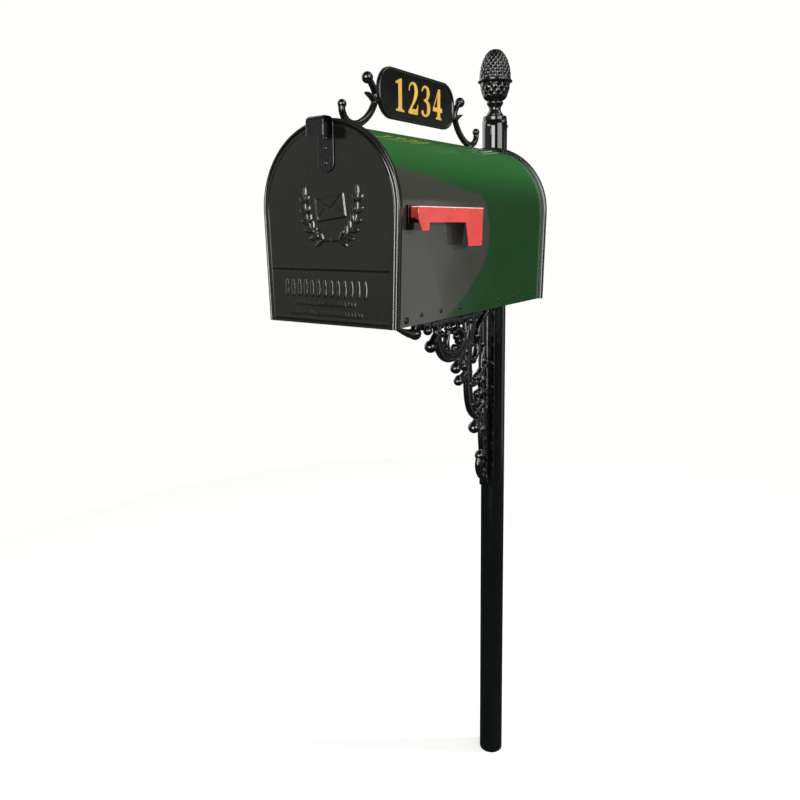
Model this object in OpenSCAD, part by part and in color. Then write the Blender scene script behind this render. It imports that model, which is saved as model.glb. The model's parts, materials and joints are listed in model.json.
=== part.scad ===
// Post-mounted mail box: a steel tube post with a turned finial, a cast scroll bracket,
// an arched sheet-metal box with a drop-down door and a side flag, and a numbered roof sign.
// The origin is the centre of the post's foot, +Z is up, the door faces -Y and the flag is on +X.
// Sizes called "from the door" are measured back from the door's front rim, and sizes called
// "above the floor line" are measured up from the box's bottom edge.

/* [Post] */
// Outside diameter of the post tube
post_d = 57; // [50:0.5:60]
// Wall of the post tube
post_wall = 2.5; // [2:0.5:4]
// Height of the box's bottom edge above the post's foot
floor_z = 1190; // [900:5:1450]
// How far the tube stands above the rims of the box
post_over_roof = 62; // [44:1:94]
// Gap between the post and the rear rim
post_gap = 1.5; // [1:0.5:6]

/* [Box] */
// Length over the door rim and the rear rim
box_l = 585; // [480:1:705]
// Radius of the arched rims
rim_r = 146; // [120:1:180]
// Height of the arch's centre above the floor line
spring_h = 195; // [186:1:236]
// Lean of each side wall, inwards to the bottom, in degrees
side_lean = 2; // [1:0.5:4]
// How far the rims stand proud of the shell
rim_proud = 8.5; // [7:0.5:10]
// Depth of each rim along the box
rim_t = 10; // [8:0.5:11]
// Thickness of the shell, door and rear panel
sheet_t = 1.2; // [0.8:0.1:1.6]
// Height of the floor pan above the floor line
pan_h = 28; // [26:1:34]
// Height of the rivet line above the floor line
rivet_h = 16; // [15:0.5:18]

/* [Door] */
// Distance of the hinge pins from the door's front
hinge_back = 40; // [36:1:46]
// Height of the hinge pins above the floor line
hinge_h = 11; // [10:0.5:13]
// Diameter of the hinge pins
hinge_d = 6; // [5:0.5:7]
// Width of the door pull's strap
pull_w = 33; // [24:1:36]
// Width of the pull's hooked lip
lip_w = 37; // [28:1:40]
// Offset of the pull from the door's middle, towards the flag's side
pull_x = 3.5; // [0:0.5:6]
// Reach of the pull's hook in front of the door
pull_reach = 29; // [22:1:36]
// Height of the pull's lip
pull_lip = 32; // [24:1:36]

/* [Flag] */
// Distance of the flag's pivot from the door's front
flag_y = 58; // [54:1:90]
// Height of the flag's pivot below the arch's centre
flag_drop = 12; // [10:1:36]
// Length of the flag's arm from its pivot
flag_l = 201; // [160:1:240]
// Height of the flag's arm
flag_arm_h = 26; // [20:1:34]
// Height of the blade below the arm
blade_h = 42; // [30:1:60]
// Depth of the flag's channel
flag_depth = 15; // [10:0.5:18]
// Diameter of the flag's pivot pin
flag_pin_d = 6; // [5:0.5:7]

/* [Sign] */
// Distance of the sign's middle from the door
sign_y = 285.5; // [240:0.5:330]
// Length of the number plate
plate_l = 269; // [250:1:300]
// Height of the number plate
plate_h = 93; // [84:1:101]
// Thickness of the number plate
plate_t = 10; // [8:0.5:12]
// Clear height between the roof and the plate
plate_lift = 28; // [24:1:34]
// Height of the numerals
numeral_h = 60; // [48:1:64]
// Distance between the middles of neighbouring numerals
numeral_pitch = 45; // [42:1:48]

/* [Bracket] */
// Length of the support rail
rail_l = 381; // [340:1:430]
// Width of the support rail
rail_w = 42; // [36:1:48]
// Height of the support rail
rail_h = 16; // [12:1:18]
// Length of the strap down the post
strap_l = 468; // [466:1:520]
// Width of the strap down the post
strap_w = 38; // [34:1:44]
// Thickness of the strap down the post
strap_t = 5; // [4:0.5:6]
// Thickness of the cast scrollwork
cast_t = 16; // [12:1:18]

/* [Fits] */
// Radial clearance of the running pivots
pivot_clear = 0.05; // [0.03:0.01:0.08]
// Radial clearance of screws and rivets in their holes
hole_clear = 0.15; // [0.1:0.05:0.3]
// Gap between sheets that lie against each other
sheet_gap = 0.15; // [0.1:0.05:0.25]
// Gap between a head or washer and what it bears on
seat_gap = 0.05; // [0.02:0.01:0.1]

/* [Hidden] */

$fn = 64;
paint_black = "#1a1d1b";
paint_green = "#1c5a2a";
flag_red = "#e8322c";
number_gold = "#e8b64c";
brass = "#c49a4a";
zinc = "#8d9094";

// Levels of the box
post_r = post_d / 2;
rear_y = -(post_r + post_gap);
front_y = rear_y - box_l;
shell_r = rim_r - rim_proud;
inner_r = shell_r - sheet_t;
roof_h = spring_h + shell_r;
rim_top = spring_h + rim_r;
post_top = floor_z + rim_top + post_over_roof;

// Stations along the box, from the door
panel_y = 0.6;
shell_start = rim_t + 0.6;
rear_panel_y = box_l - 4;
shell_end = rear_panel_y - sheet_t - sheet_gap;
post_axis_y = box_l + post_gap + post_r;
strap_back = box_l + post_gap - 2 * seat_gap;
strap_front = strap_back - strap_t;
rivet_stations = concat([86, 150, 218, 298], [for (b = [207, 139, 35]) box_l - b]);
screw_stations = [for (i = [2:6]) rivet_stations[i]];
hinge_ear_r = 9;

// Levels and stations of the flag
flag_z = spring_h - flag_drop;
mount_face = shell_r + 3.5;
flag_in = mount_face + 1.2;
flag_out = flag_in + flag_depth;
flag_t = 2;
flag_bend = 5;
flag_top = flag_z + flag_arm_h / 2;
flag_low = flag_top - flag_arm_h;
blade_low = flag_low - blade_h;
flag_start = flag_y - 19;
flag_end = flag_y + flag_l;
tab_low = flag_low - 13;

// Half-width of a side wall of arch radius r at height z
function side_x(r, z) = r * cos(side_lean) - (spring_h - r * sin(side_lean) - z) * tan(side_lean);

// Points along an arc, from angle a to angle b
function arc(cx, cy, r, a, b, n) = [for (i = [0:n]) [cx + r * cos(a + (b - a) * i / n), cy + r * sin(a + (b - a) * i / n)]];

// A point on a cubic curve through four control points
function curve_point(c, t) =
    pow(1 - t, 3) * c[0] + 3 * pow(1 - t, 2) * t * c[1] + 3 * (1 - t) * t * t * c[2] + pow(t, 3) * c[3];

// The curve's direction at t, as a unit vector
function curve_slope(c, t) =
    let (d = 3 * pow(1 - t, 2) * (c[1] - c[0]) + 6 * (1 - t) * t * (c[2] - c[1]) + 3 * t * t * (c[3] - c[2]))
    d / norm(d);

// Points of a cubic curve, without its first
function curve(c, n = 8) = [for (i = [1:n]) curve_point(c, i / n)];

// Everything inside is placed from the door's front and the floor line
module at_box() translate([0, front_y, floor_z]) children();

// Draws an x-z outline as a solid from y0 to y1
module along_y(y0, y1) translate([0, y1, 0]) rotate([90, 0, 0]) linear_extrude(y1 - y0) children();

// Draws a y-z outline as a solid from x0 to x1
module along_x(x0, x1) translate([x0, 0, 0]) rotate([90, 0, 90]) linear_extrude(x1 - x0) children();

// A round bar along X, Y or Z
module rod_x(x0, x1, y, z, r) translate([x0, y, z]) rotate([0, 90, 0]) cylinder(r = r, h = x1 - x0);
module rod_y(x, y0, y1, z, r) translate([x, y1, z]) rotate([90, 0, 0]) cylinder(r = r, h = y1 - y0);
module rod_z(x, y, z0, z1, r) translate([x, y, z0]) cylinder(r = r, h = z1 - z0);

// The same on both side walls
module both_sides() {
    children();
    mirror([1, 0, 0]) children();
}

// The arched outline of radius r, cut off at height low
module arch(r, low = 0) {
    translate([0, spring_h]) circle(r = r, $fn = 128);
    polygon([
        [side_x(r, low), low],
        [r * cos(side_lean), spring_h - r * sin(side_lean)],
        [-r * cos(side_lean), spring_h - r * sin(side_lean)],
        [-side_x(r, low), low]
    ]);
}

module arch_band(r_out, r_in, low = 0) difference() {
    arch(r_out, low);
    arch(r_in, low - 1);
}

// ---- Post ----

cap_h = 11;
cap_r = post_r - 1;
spigot_l = 30;
set_screw_drop = 12;
stud_r = 5;
finial_h = 149;

module post_tube() color(paint_black) difference() {
    cylinder(r = post_r, h = post_top);
    translate([0, 0, -1]) cylinder(r = post_r - post_wall, h = post_top + 2);
    for (z = strap_bolt_z) rod_y(0, -post_r - 1, post_r + 1, floor_z + z, strap_bolt_r + hole_clear);
    for (a = [0:120:240]) rotate([0, 0, a - 90]) rod_x(0, post_r + 1, 0, post_top - set_screw_drop, 2 + hole_clear);
}

module post_cap() color(paint_black) difference() {
    union() {
        translate([0, 0, post_top + seat_gap]) cylinder(r = cap_r, h = cap_h);
        rod_z(0, 0, post_top - spigot_l, post_top + 1, post_r - post_wall - sheet_gap);
    }
    rod_z(0, 0, post_top - spigot_l - 1, post_top + cap_h + 1, stud_r + hole_clear);
    for (a = [0:120:240]) rotate([0, 0, a - 90]) rod_x(12, post_r, 0, post_top - set_screw_drop, 2 + hole_clear);
}

// The finial is turned: a flared foot, a waist, a collar, a cup, a sharp ring and a cone
module finial() color(paint_black) translate([0, 0, post_top + cap_h + 2 * seat_gap]) difference() {
    rotate_extrude($fn = 96) polygon(concat(
        [[0, 0], [19.5, 0], [19.5, 4]],
        curve([[19.5, 4], [16, 8], [13, 12], [13.6, 17]], 6),
        curve([[13.6, 17], [14, 21], [16, 23], [18, 26]], 4),
        [[18.5, 31], [17, 34]],
        curve([[17, 34], [28, 38], [35, 52], [36.5, 75]], 8),
        [[40, 76.5], [40, 79], [37, 80.5]],
        curve([[37, 80.5], [38.5, 104], [29, 138], [12, 147]], 12),
        curve([[12, 147], [8, 149], [4, finial_h], [0, finial_h]], 3)
    ));
    translate([0, 0, -1]) cylinder(r = stud_r + hole_clear, h = 26);
}

module finial_stud() color(zinc) rod_z(0, 0, post_top - spigot_l - 8, post_top + cap_h + 22, stud_r);

module cap_set_screws() color(brass) for (a = [0:120:240]) rotate([0, 0, a - 90]) {
    rod_x(post_r - 9, post_r + 1, 0, post_top - set_screw_drop, 2);
    rod_x(post_r + 0.4, post_r + 2, 0, post_top - set_screw_drop, 3.2);
}

// ---- Bracket ----

strap_bolt_r = 4;
strap_bolt_z = [-36, -236, -458];
rail_front = strap_front - rail_l;
rail_top = -seat_gap;
rail_low = rail_top - rail_h;
spine_w = 9;
spine_back = strap_front - seat_gap;
spine_front = spine_back - spine_w;
spine_top = rail_low - seat_gap;
spine_low = spine_top - spine_w;
spine_end = -446;
bolt_seats = [spine_front, spine_front, strap_front];
casting_screw_y = [strap_front - 205, strap_front - 60];

module back_strap() color(paint_black) at_box() difference() {
    translate([-strap_w / 2, strap_front, -strap_l]) cube([strap_w, strap_t, strap_l + rail_top]);
    for (z = strap_bolt_z) rod_y(0, strap_front - 1, strap_back + 1, z, strap_bolt_r + hole_clear);
}

module support_rail() color(paint_black) at_box() difference() {
    translate([-rail_w / 2, rail_front, rail_low]) cube([rail_w, rail_l - seat_gap, rail_h]);
    for (p = tray_bolt_places) rod_z(p[0], p[1], rail_low - 1, rail_top + 1, tray_bolt_r + hole_clear);
    for (y = casting_screw_y) rod_z(0, y, rail_low - 1, rail_low + 11, 2.5 + hole_clear);
}

// A band along a cubic curve, tapering from width w0 to width w1, in y-z from the post's strap
module stroke(c, w0, w1, n = 10) polygon(concat(
    [for (i = [0:n]) let (s = curve_slope(c, i / n)) curve_point(c, i / n) + (w0 + (w1 - w0) * i / n) / 2 * [-s[1], s[0]]],
    [for (i = [n:-1:0]) let (s = curve_slope(c, i / n)) curve_point(c, i / n) - (w0 + (w1 - w0) * i / n) / 2 * [-s[1], s[0]]]
));

// Scrollwork of the bracket: control points in mm ahead of the strap and below the floor line
bracket_strokes = [
    [[[-66, -20], [-70, -52], [-100, -95], [-96, -150]], 20, 22],
    [[[-96, -150], [-93, -185], [-98, -220], [-82, -250]], 22, 20],
    [[[-82, -250], [-68, -272], [-48, -282], [-28, -284]], 20, 14],
    [[[-222, -22], [-240, -72], [-224, -116], [-172, -118]], 14, 18],
    [[[-172, -118], [-128, -118], [-100, -92], [-104, -44]], 18, 13],
    [[[-104, -44], [-106, -26], [-128, -26], [-136, -36]], 13, 9],
    [[[-172, -118], [-192, -106], [-196, -84], [-186, -66]], 12, 8],
    [[[-228, -62], [-240, -66], [-246, -76], [-252, -84]], 12, 15],
    [[[-262, -22], [-268, -34], [-268, -40], [-266, -48]], 20, 15],
    [[[-306, -22], [-314, -30], [-316, -40], [-314, -46]], 22, 16],
    [[[-314, -50], [-338, -48], [-356, -40], [-378, -32]], 20, 5],
    [[[-102, -104], [-120, -118], [-138, -134], [-148, -146]], 14, 15],
    [[[-100, -166], [-112, -176], [-126, -180], [-136, -178]], 14, 18],
    [[[-86, -140], [-60, -150], [-44, -120], [-52, -92]], 10, 13],
    [[[-52, -92], [-50, -60], [-28, -50], [-12, -40]], 13, 9],
    [[[-88, -196], [-66, -206], [-52, -196], [-48, -186]], 10, 14],
    [[[-48, -186], [-30, -168], [-16, -170], [-8, -160]], 11, 9],
    [[[-80, -246], [-56, -252], [-46, -240], [-52, -226]], 9, 11],
    [[[-52, -232], [-34, -224], [-20, -230], [-8, -220]], 9, 8],
    [[[-64, -270], [-44, -256], [-30, -262], [-26, -250]], 9, 10],
    [[[-28, -284], [-40, -284], [-54, -292], [-62, -301]], 14, 16],
    [[[-20, -276], [-26, -310], [-24, -340], [-18, -372]], 20, 22],
    [[[-18, -372], [-44, -386], [-46, -412], [-26, -432]], 20, 16],
    [[[-26, -432], [-20, -440], [-12, -446], [-5, -450]], 16, 6]
];

// Round ends of the scrollwork, each with its radius: small ones are discs and large ones balls
bracket_balls = [
    [-314, -50, 13], [-266, -50, 10], [-255, -85, 13.5], [-136, -37, 8], [-185, -64, 8],
    [-150, -149, 12.5], [-138, -180, 11], [-53, -88, 11], [-50, -187, 11], [-53, -226, 8.5],
    [-26, -250, 8], [-64, -305, 14], [-36, -380, 11.5]
];

ball_least = cast_t / 2 + 2;

module scroll_bracket() color(paint_black) at_box() difference() {
    union() {
        translate([0, strap_front, 0]) along_x(-cast_t / 2, cast_t / 2) difference() {
            union() {
                for (s = bracket_strokes) stroke(s[0], s[1], s[2]);
                for (b = bracket_balls) if (b[2] <= ball_least) translate([b[0], b[1]]) circle(r = b[2]);
            }
            translate([-rail_l, spine_top]) square([rail_l, rail_h]);
        }
        translate([-cast_t / 2, spine_front, spine_end]) cube([cast_t, spine_w, spine_top - spine_end]);
        translate([-cast_t / 2, strap_front - 330, spine_low]) cube([cast_t, 330 - seat_gap, spine_w]);
        for (b = bracket_balls) if (b[2] > ball_least) translate([0, strap_front + b[0], b[1]]) sphere(r = b[2]);
    }
    rod_x(-cast_t, cast_t, strap_front - 22, -402, 5);
    for (i = [0:1]) rod_y(0, spine_front - 24, spine_back + 1, strap_bolt_z[i], strap_bolt_r + hole_clear);
    for (i = [0:1]) rod_y(0, spine_front - 24, spine_front, strap_bolt_z[i], bolt_head_r + 0.6);
    for (y = casting_screw_y) rod_z(0, y, spine_low - 20, spine_top + 1, 2.5 + hole_clear);
    for (y = casting_screw_y) rod_z(0, y, spine_low - 20, spine_low, 5.5);
}

bolt_head_r = 7;

// The upper two bolts bear on the casting's spine, the lowest on the strap
module strap_bolts() color(paint_black) at_box() for (i = [0:2]) {
    rod_y(0, bolt_seats[i] - 4, post_axis_y + post_r + 12, strap_bolt_z[i], strap_bolt_r);
    rod_y(0, bolt_seats[i] - 4 - seat_gap, bolt_seats[i] - seat_gap, strap_bolt_z[i], bolt_head_r);
}

module strap_nuts() color(zinc) at_box() for (z = strap_bolt_z) difference() {
    translate([0, post_axis_y + post_r + 8, z]) rotate([90, 0, 0]) cylinder(r = 7.5, h = 7.5, $fn = 6);
    rod_y(0, post_axis_y, post_axis_y + post_r + 20, z, strap_bolt_r + hole_clear);
}

module casting_screws() color(paint_black) at_box() for (y = casting_screw_y) {
    rod_z(0, y, spine_low - 1, rail_low + 10, 2.5);
    rod_z(0, y, spine_low - 3.5, spine_low - seat_gap, 4.8);
}

// ---- Mounting tray under the floor ----

tray_t = 3;
tray_front = 182;
tray_back = box_l - 22;
tray_bolt_r = 3;
tray_bolt_places = [for (x = [-14, 14]) for (y = [rail_front + 36, strap_front - 90]) [x, y]];
pan_t = 1;
flange_low = 10;

// A channel outline between the side walls: a flat web with flanges that follow the walls
module channel(inset, web_low, web_high, flange_z0, flange_z1, wall) {
    outer = inner_r - inset;
    polygon([
        [side_x(outer, flange_z0), flange_z0], [side_x(outer, flange_z1), flange_z1],
        [side_x(outer, flange_z1) - wall, flange_z1], [side_x(outer, flange_z0) - wall, flange_z0]
    ]);
    polygon([
        [-side_x(outer, flange_z1), flange_z1], [-side_x(outer, flange_z0), flange_z0],
        [-side_x(outer, flange_z0) + wall, flange_z0], [-side_x(outer, flange_z1) + wall, flange_z1]
    ]);
    polygon([
        [-side_x(outer, web_low), web_low], [side_x(outer, web_low), web_low],
        [side_x(outer, web_high), web_high], [-side_x(outer, web_high), web_high]
    ]);
}

tray_inset = 2 * sheet_gap + pan_t;

module mounting_tray() color(zinc) at_box() difference() {
    along_y(tray_front, tray_back) channel(tray_inset, 0, tray_t, 0, pan_h - seat_gap, 2);
    for (p = tray_bolt_places) rod_z(p[0], p[1], -1, tray_t + 1, tray_bolt_r + hole_clear);
    for (y = screw_stations) if (y < tray_back) rod_x(-rim_r, rim_r, y, rivet_h, 2 + hole_clear);
}

module tray_bolts() color(zinc) at_box() for (p = tray_bolt_places) {
    rod_z(p[0], p[1], rail_low - 9, tray_t + 1, tray_bolt_r);
    rod_z(p[0], p[1], tray_t + seat_gap, tray_t + 3.5, 6);
}

module tray_nuts() color(zinc) at_box() for (p = tray_bolt_places) difference() {
    translate([p[0], p[1], rail_low - 5 - seat_gap]) cylinder(r = 5.7, h = 5, $fn = 6);
    rod_z(p[0], p[1], rail_low - 8, rail_low + 1, tray_bolt_r + hole_clear);
}

// A low round head on the outside of a side wall, with its shank running in
module wall_fastener(y, shank_r, head_r, head_t, depth) {
    wall = side_x(shell_r, rivet_h) + seat_gap + head_r * tan(side_lean);
    rod_x(wall - depth, wall + 0.5, y, rivet_h, shank_r);
    rod_x(wall, wall + head_t, y, rivet_h, head_r);
}

module side_screws() color(paint_black) at_box() both_sides() for (y = screw_stations) {
    if (y < tray_back) wall_fastener(y, 2, 4, 1.8, 9);
    else wall_fastener(y, 2, 4, 1.8, 5);
}

// ---- Box ----

bead_w = 9;
bead_r = shell_r + 4.3;
bead_low = hinge_h + 2.5;
flag_rivet_places = [[flag_y - 16, flag_z - 16], [flag_y + 12, flag_z + 9]];
foot_reach = 205;
foot_stations = [sign_y - foot_reach, sign_y + foot_reach];
catch_y = 36;

module body_shell() color(paint_green) at_box() difference() {
    union() {
        along_y(shell_start, shell_end) arch_band(shell_r, inner_r);
        along_y(shell_start, shell_start + bead_w) arch_band(bead_r, shell_r - 0.4, bead_low);
    }
    for (y = rivet_stations) rod_x(-rim_r, rim_r, y, rivet_h, 2 + hole_clear);
    rod_x(-rim_r, rim_r, hinge_back, hinge_h, hinge_d / 2 + hole_clear);
    rod_x(shell_r / 2, rim_r, flag_y, flag_z, flag_pin_d / 2 + hole_clear);
    for (p = flag_rivet_places) rod_x(shell_r / 2, rim_r, p[0], p[1], 1.6 + hole_clear);
    for (y = foot_stations) rod_z(0, y, roof_h - 8, roof_h + 2, 3 + hole_clear);
    for (x = [-7, 7]) rod_z(x, catch_y, roof_h - 8, roof_h + 2, 1.6 + hole_clear);
}

// The floor pan's flanges turn down and stop short of the door's hinge ears
module floor_pan() color(paint_green) at_box() difference() {
    along_y(12, shell_end - 1) channel(sheet_gap, pan_h, pan_h + pan_t, flange_low, pan_h + pan_t, pan_t);
    translate([-rim_r, 0, 0]) cube([2 * rim_r, hinge_back + hinge_ear_r + 7, pan_h]);
    for (y = rivet_stations) rod_x(-rim_r, rim_r, y, rivet_h, 2 + hole_clear);
}

module floor_rivets() color(paint_black) at_box() both_sides() for (i = [0:1])
    wall_fastener(rivet_stations[i], 2, 4, 1.8, 5);

module rear_cap() color(paint_black) at_box() {
    along_y(box_l - rim_t, box_l) arch_band(rim_r, shell_r + 0.3);
    along_y(rear_panel_y - sheet_t, rear_panel_y) arch(shell_r + 1);
}

// A flat spring under the roof that grips the door's tab
catch_low = roof_h - 13;
tab_t = 1.5;
tab_z = catch_low - 0.4 - tab_t;
tab_back = panel_y + sheet_t + sheet_gap;
tab_peg_x = 8.5;

module roof_catch() color(zinc) at_box() difference() {
    along_x(-11, 11) polygon([
        [12, catch_low], [26, catch_low], [32, inner_top(11) - 1.1], [44, inner_top(11) - 1.1],
        [44, inner_top(11) - 0.1], [31.4, inner_top(11) - 0.1], [25.6, catch_low + 1], [12, catch_low + 1]
    ]);
    for (x = [-7, 7]) rod_z(x, catch_y, catch_low, roof_h, 1.6 + hole_clear);
}

// Height of the roof's inner face at distance x from the middle
function inner_top(x) = spring_h + sqrt(inner_r * inner_r - x * x);

module catch_rivets() color(paint_black) at_box() for (x = [-7, 7]) {
    rod_z(x, catch_y, inner_top(11) - 2.6, roof_h + 0.4, 1.6);
    rod_z(x, catch_y, inner_top(11) - 2.6, inner_top(11) - 1.1 - seat_gap, 2.9);
    rod_z(x, catch_y, roof_h + 0.05, roof_h + 1.2, 2.9);
}

module hinge_rivets() color(paint_black) at_box() both_sides() {
    wall = side_x(shell_r, hinge_h) + seat_gap + 6 * tan(side_lean);
    rod_x(ear_x0 - 2.2, wall + 0.5, hinge_back, hinge_h, hinge_d / 2);
    rod_x(wall, wall + 2, hinge_back, hinge_h, 6);
    rod_x(ear_x0 - 2.2, ear_x0 - 0.3, hinge_back, hinge_h, 5);
}

// ---- Door ----

ear_x1 = side_x(inner_r, hinge_h - hinge_ear_r) - 0.5;
ear_x0 = ear_x1 - 1.6;
ridge_r = shell_r - 8;
crease_h = 91;
hem_h = 8;

module door_panel() color(paint_black) at_box() difference() {
    union() {
        along_y(panel_y, panel_y + sheet_t) arch(rim_r - 1);
        along_y(0, rim_t) arch_band(rim_r, shell_r + 0.6);
        along_y(-0.6, panel_y + 0.2) arch_band(ridge_r, ridge_r - 2.5, hem_h);
        for (z = [hem_h, crease_h]) along_y(-0.6, panel_y + 0.2)
            translate([1 - side_x(ridge_r, z), z]) square([2 * side_x(ridge_r, z) - 2, 3]);
        both_sides() difference() {
            union() {
                rod_x(ear_x0, ear_x1, hinge_back, hinge_h, hinge_ear_r);
                translate([ear_x0, panel_y + 0.2, hinge_h - 8.5]) cube([ear_x1 - ear_x0, hinge_back - panel_y - 0.2, 17]);
            }
            rod_x(ear_x0 - 1, ear_x1 + 1, hinge_back, hinge_h, hinge_d / 2 + pivot_clear);
        }
    }
    for (z = pull_rivet_heights) rod_y(pull_x, panel_y - 2, panel_y + sheet_t + 1, z, 2 + hole_clear);
    for (s = [-1, 1]) rod_y(pull_x + s * tab_peg_x, panel_y - 2, panel_y + sheet_t + 1, tab_z - 8, 1.6 + hole_clear);
}

pull_t = 1.8;
pull_back = -0.65;
pull_top = rim_top + 0.5;
pull_low = rim_top - 88;
pull_rivet_heights = [rim_top - 73, rim_top - 49, rim_top - 32];
hook_r = 9;

// Side outline of the pull's hook: up the door, forward over the top and down to the lip
module hook_outline() {
    y0 = pull_back;
    y1 = -pull_reach;
    z1 = pull_top;
    polygon(concat(
        [[y0, pull_low + pull_w]],
        arc(y0 - hook_r, z1 - hook_r, hook_r, 0, 90, 6),
        arc(y1 + hook_r, z1 - hook_r, hook_r, 90, 180, 6),
        [[y1, z1 - pull_lip], [y1 + pull_t, z1 - pull_lip]],
        arc(y1 + hook_r, z1 - hook_r, hook_r - pull_t, 180, 90, 6),
        arc(y0 - hook_r, z1 - hook_r, hook_r - pull_t, 90, 0, 6),
        [[y0 - pull_t, pull_low + pull_w]]
    ));
}

module door_pull() color(paint_black) at_box() translate([pull_x, 0, 0]) difference() {
    union() {
        along_x(-pull_w / 2, pull_w / 2) hook_outline();
        along_x(-lip_w / 2, lip_w / 2) intersection() {
            hook_outline();
            translate([-pull_reach - 1, pull_low]) square([hook_r + 3, pull_top - pull_low + 1]);
        }
        along_y(pull_back - pull_t, pull_back) translate([-pull_w / 2, pull_low + pull_w / 2]) square([pull_w, pull_w / 2 + 2]);
        rod_y(0, pull_back - pull_t, pull_back, pull_low + pull_w / 2, pull_w / 2 - 0.05);
    }
    for (z = pull_rivet_heights) rod_y(0, pull_back - pull_t - 1, pull_back + 1, z, 2 + hole_clear);
}

// The top rivet also holds the catch's tab
module pull_rivets() color(paint_black) at_box() translate([pull_x, 0, 0]) for (i = [0:2]) {
    z = pull_rivet_heights[i];
    back = i == 2 ? tab_back + tab_t : panel_y + sheet_t;
    rod_y(0, pull_back - pull_t - 0.5, back + 0.5, z, 2);
    rod_y(0, pull_back - pull_t - 1.5, pull_back - pull_t - seat_gap, z, 3.6);
    rod_y(0, back + seat_gap, back + 1.2, z, 3.6);
}

// An angle pegged inside the door, whose tongue slides under the roof's spring
module catch_tab() color(zinc) at_box() translate([pull_x, 0, 0]) difference() {
    union() {
        along_x(-14, 14) polygon([
            [tab_back, tab_z - 14], [tab_back, tab_z + tab_t], [24, tab_z + tab_t], [24, tab_z],
            [tab_back + tab_t, tab_z], [tab_back + tab_t, tab_z - 14]
        ]);
        for (s = [-1, 1]) rod_y(s * tab_peg_x, panel_y - 0.9, tab_back + 0.5, tab_z - 8, 1.6);
        for (s = [-1, 1]) rod_y(s * tab_peg_x, panel_y - 1, panel_y - seat_gap, tab_z - 8, 2.8);
    }
    rod_y(0, tab_back - 1, tab_back + tab_t + 1, pull_rivet_heights[2], 2 + hole_clear);
}

// ---- Flag ----

module flag_mount() color(paint_black) at_box() difference() {
    along_y(flag_y - 24, flag_y + 18) polygon([
        [side_x(shell_r, flag_z - 25) + 0.1, flag_z - 25], [mount_face, flag_z - 25],
        [mount_face, flag_z + 15], [side_x(shell_r, flag_z + 15) + 0.1, flag_z + 15]
    ]);
    rod_x(shell_r / 2, rim_r, flag_y, flag_z, flag_pin_d / 2 + hole_clear);
    for (p = flag_rivet_places) rod_x(shell_r / 2, rim_r, p[0], p[1], 1.6 + hole_clear);
}

module flag_mount_rivets() color(paint_black) at_box() for (p = flag_rivet_places) {
    wall = side_x(inner_r, p[1]) - 1.5 * seat_gap - 3 * tan(side_lean);
    rod_x(wall - 1.2, mount_face + 0.4, p[0], p[1], 1.6);
    rod_x(wall - 1.2, wall, p[0], p[1], 2.9);
}

module flag_pivot_pin() color(zinc) at_box() {
    wall = side_x(inner_r, flag_z) - seat_gap - 7 * tan(side_lean);
    rod_x(wall - 2.5, flag_out - flag_t - 3, flag_y, flag_z, flag_pin_d / 2);
    rod_x(wall - 2.5, wall, flag_y, flag_z, 7);
}

module flag_washer() color(zinc) at_box() difference() {
    rod_x(mount_face + 0.1, flag_in - 0.1, flag_y, flag_z, 7.5);
    rod_x(mount_face - 1, flag_in + 1, flag_y, flag_z, flag_pin_d / 2 + hole_clear);
}

// The flag's outer face: an arm, a rounded stop tab at the pivot and a tapered blade
module flag_face() polygon(concat(
    arc(flag_start + flag_bend, flag_top - flag_bend, flag_bend, 180, 90, 4),
    [[flag_end, flag_top], [flag_end - 5, blade_low], [flag_end - 55, blade_low], [flag_end - 65, flag_low]],
    [[flag_y + 14, flag_low]],
    arc(flag_y + 10, tab_low + 4, 4, 0, -90, 4),
    arc(flag_y - 6, tab_low + 4, 4, -90, -160, 4),
    [[flag_start, flag_low + 6]]
));

// The flange that runs over the arm's top and down its front end
module flag_edge() polygon(concat(
    [[flag_start + flag_t, flag_low + 8], [flag_start, flag_low + 8]],
    arc(flag_start + flag_bend, flag_top - flag_bend, flag_bend, 180, 90, 4),
    [[flag_end - 2, flag_top], [flag_end - 2, flag_top - flag_t]],
    arc(flag_start + flag_bend, flag_top - flag_bend, flag_bend - flag_t, 90, 180, 4)
));

module flag() color(flag_red) at_box() difference() {
    union() {
        along_x(flag_out - flag_t, flag_out) flag_face();
        along_x(flag_in, flag_out - flag_t / 2) flag_edge();
        rod_x(flag_in, flag_out - flag_t / 2, flag_y, flag_z, 8);
    }
    rod_x(flag_in - 1, flag_out - flag_t - 1, flag_y, flag_z, flag_pin_d / 2 + pivot_clear);
}

// ---- Roof sign ----

plate_z = roof_h + plate_lift + plate_h / 2;
plate_corner = 42;
plate_rim = 7;
face_drop = 2.5;
pin_z = plate_z - 18;
foot_r = 9;

// A rounded rectangle centred on the plate, smaller by inset all round
module plate_outline(inset) {
    w = plate_l / 2 - inset;
    h = plate_h / 2 - inset;
    c = min(plate_corner - inset, h - 0.5);
    polygon(concat(
        arc(w - c, h - c, c, 0, 90, 12), arc(c - w, h - c, c, 90, 180, 12),
        arc(c - w, c - h, c, 180, 270, 12), arc(w - c, c - h, c, 270, 360, 12)
    ));
}

module number_plate() color(paint_black) at_box() translate([0, sign_y, plate_z]) difference() {
    along_x(-plate_t / 2, plate_t / 2) plate_outline(0);
    along_x(plate_t / 2 - face_drop, plate_t / 2 + 1) plate_outline(plate_rim);
    along_x(-plate_t / 2 - 1, face_drop - plate_t / 2) plate_outline(plate_rim);
    for (s = [-1, 1]) rod_y(0, s * (plate_l / 2 - 5) - 7, s * (plate_l / 2 - 5) + 7, pin_z - plate_z, 2 + hole_clear);
}

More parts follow.
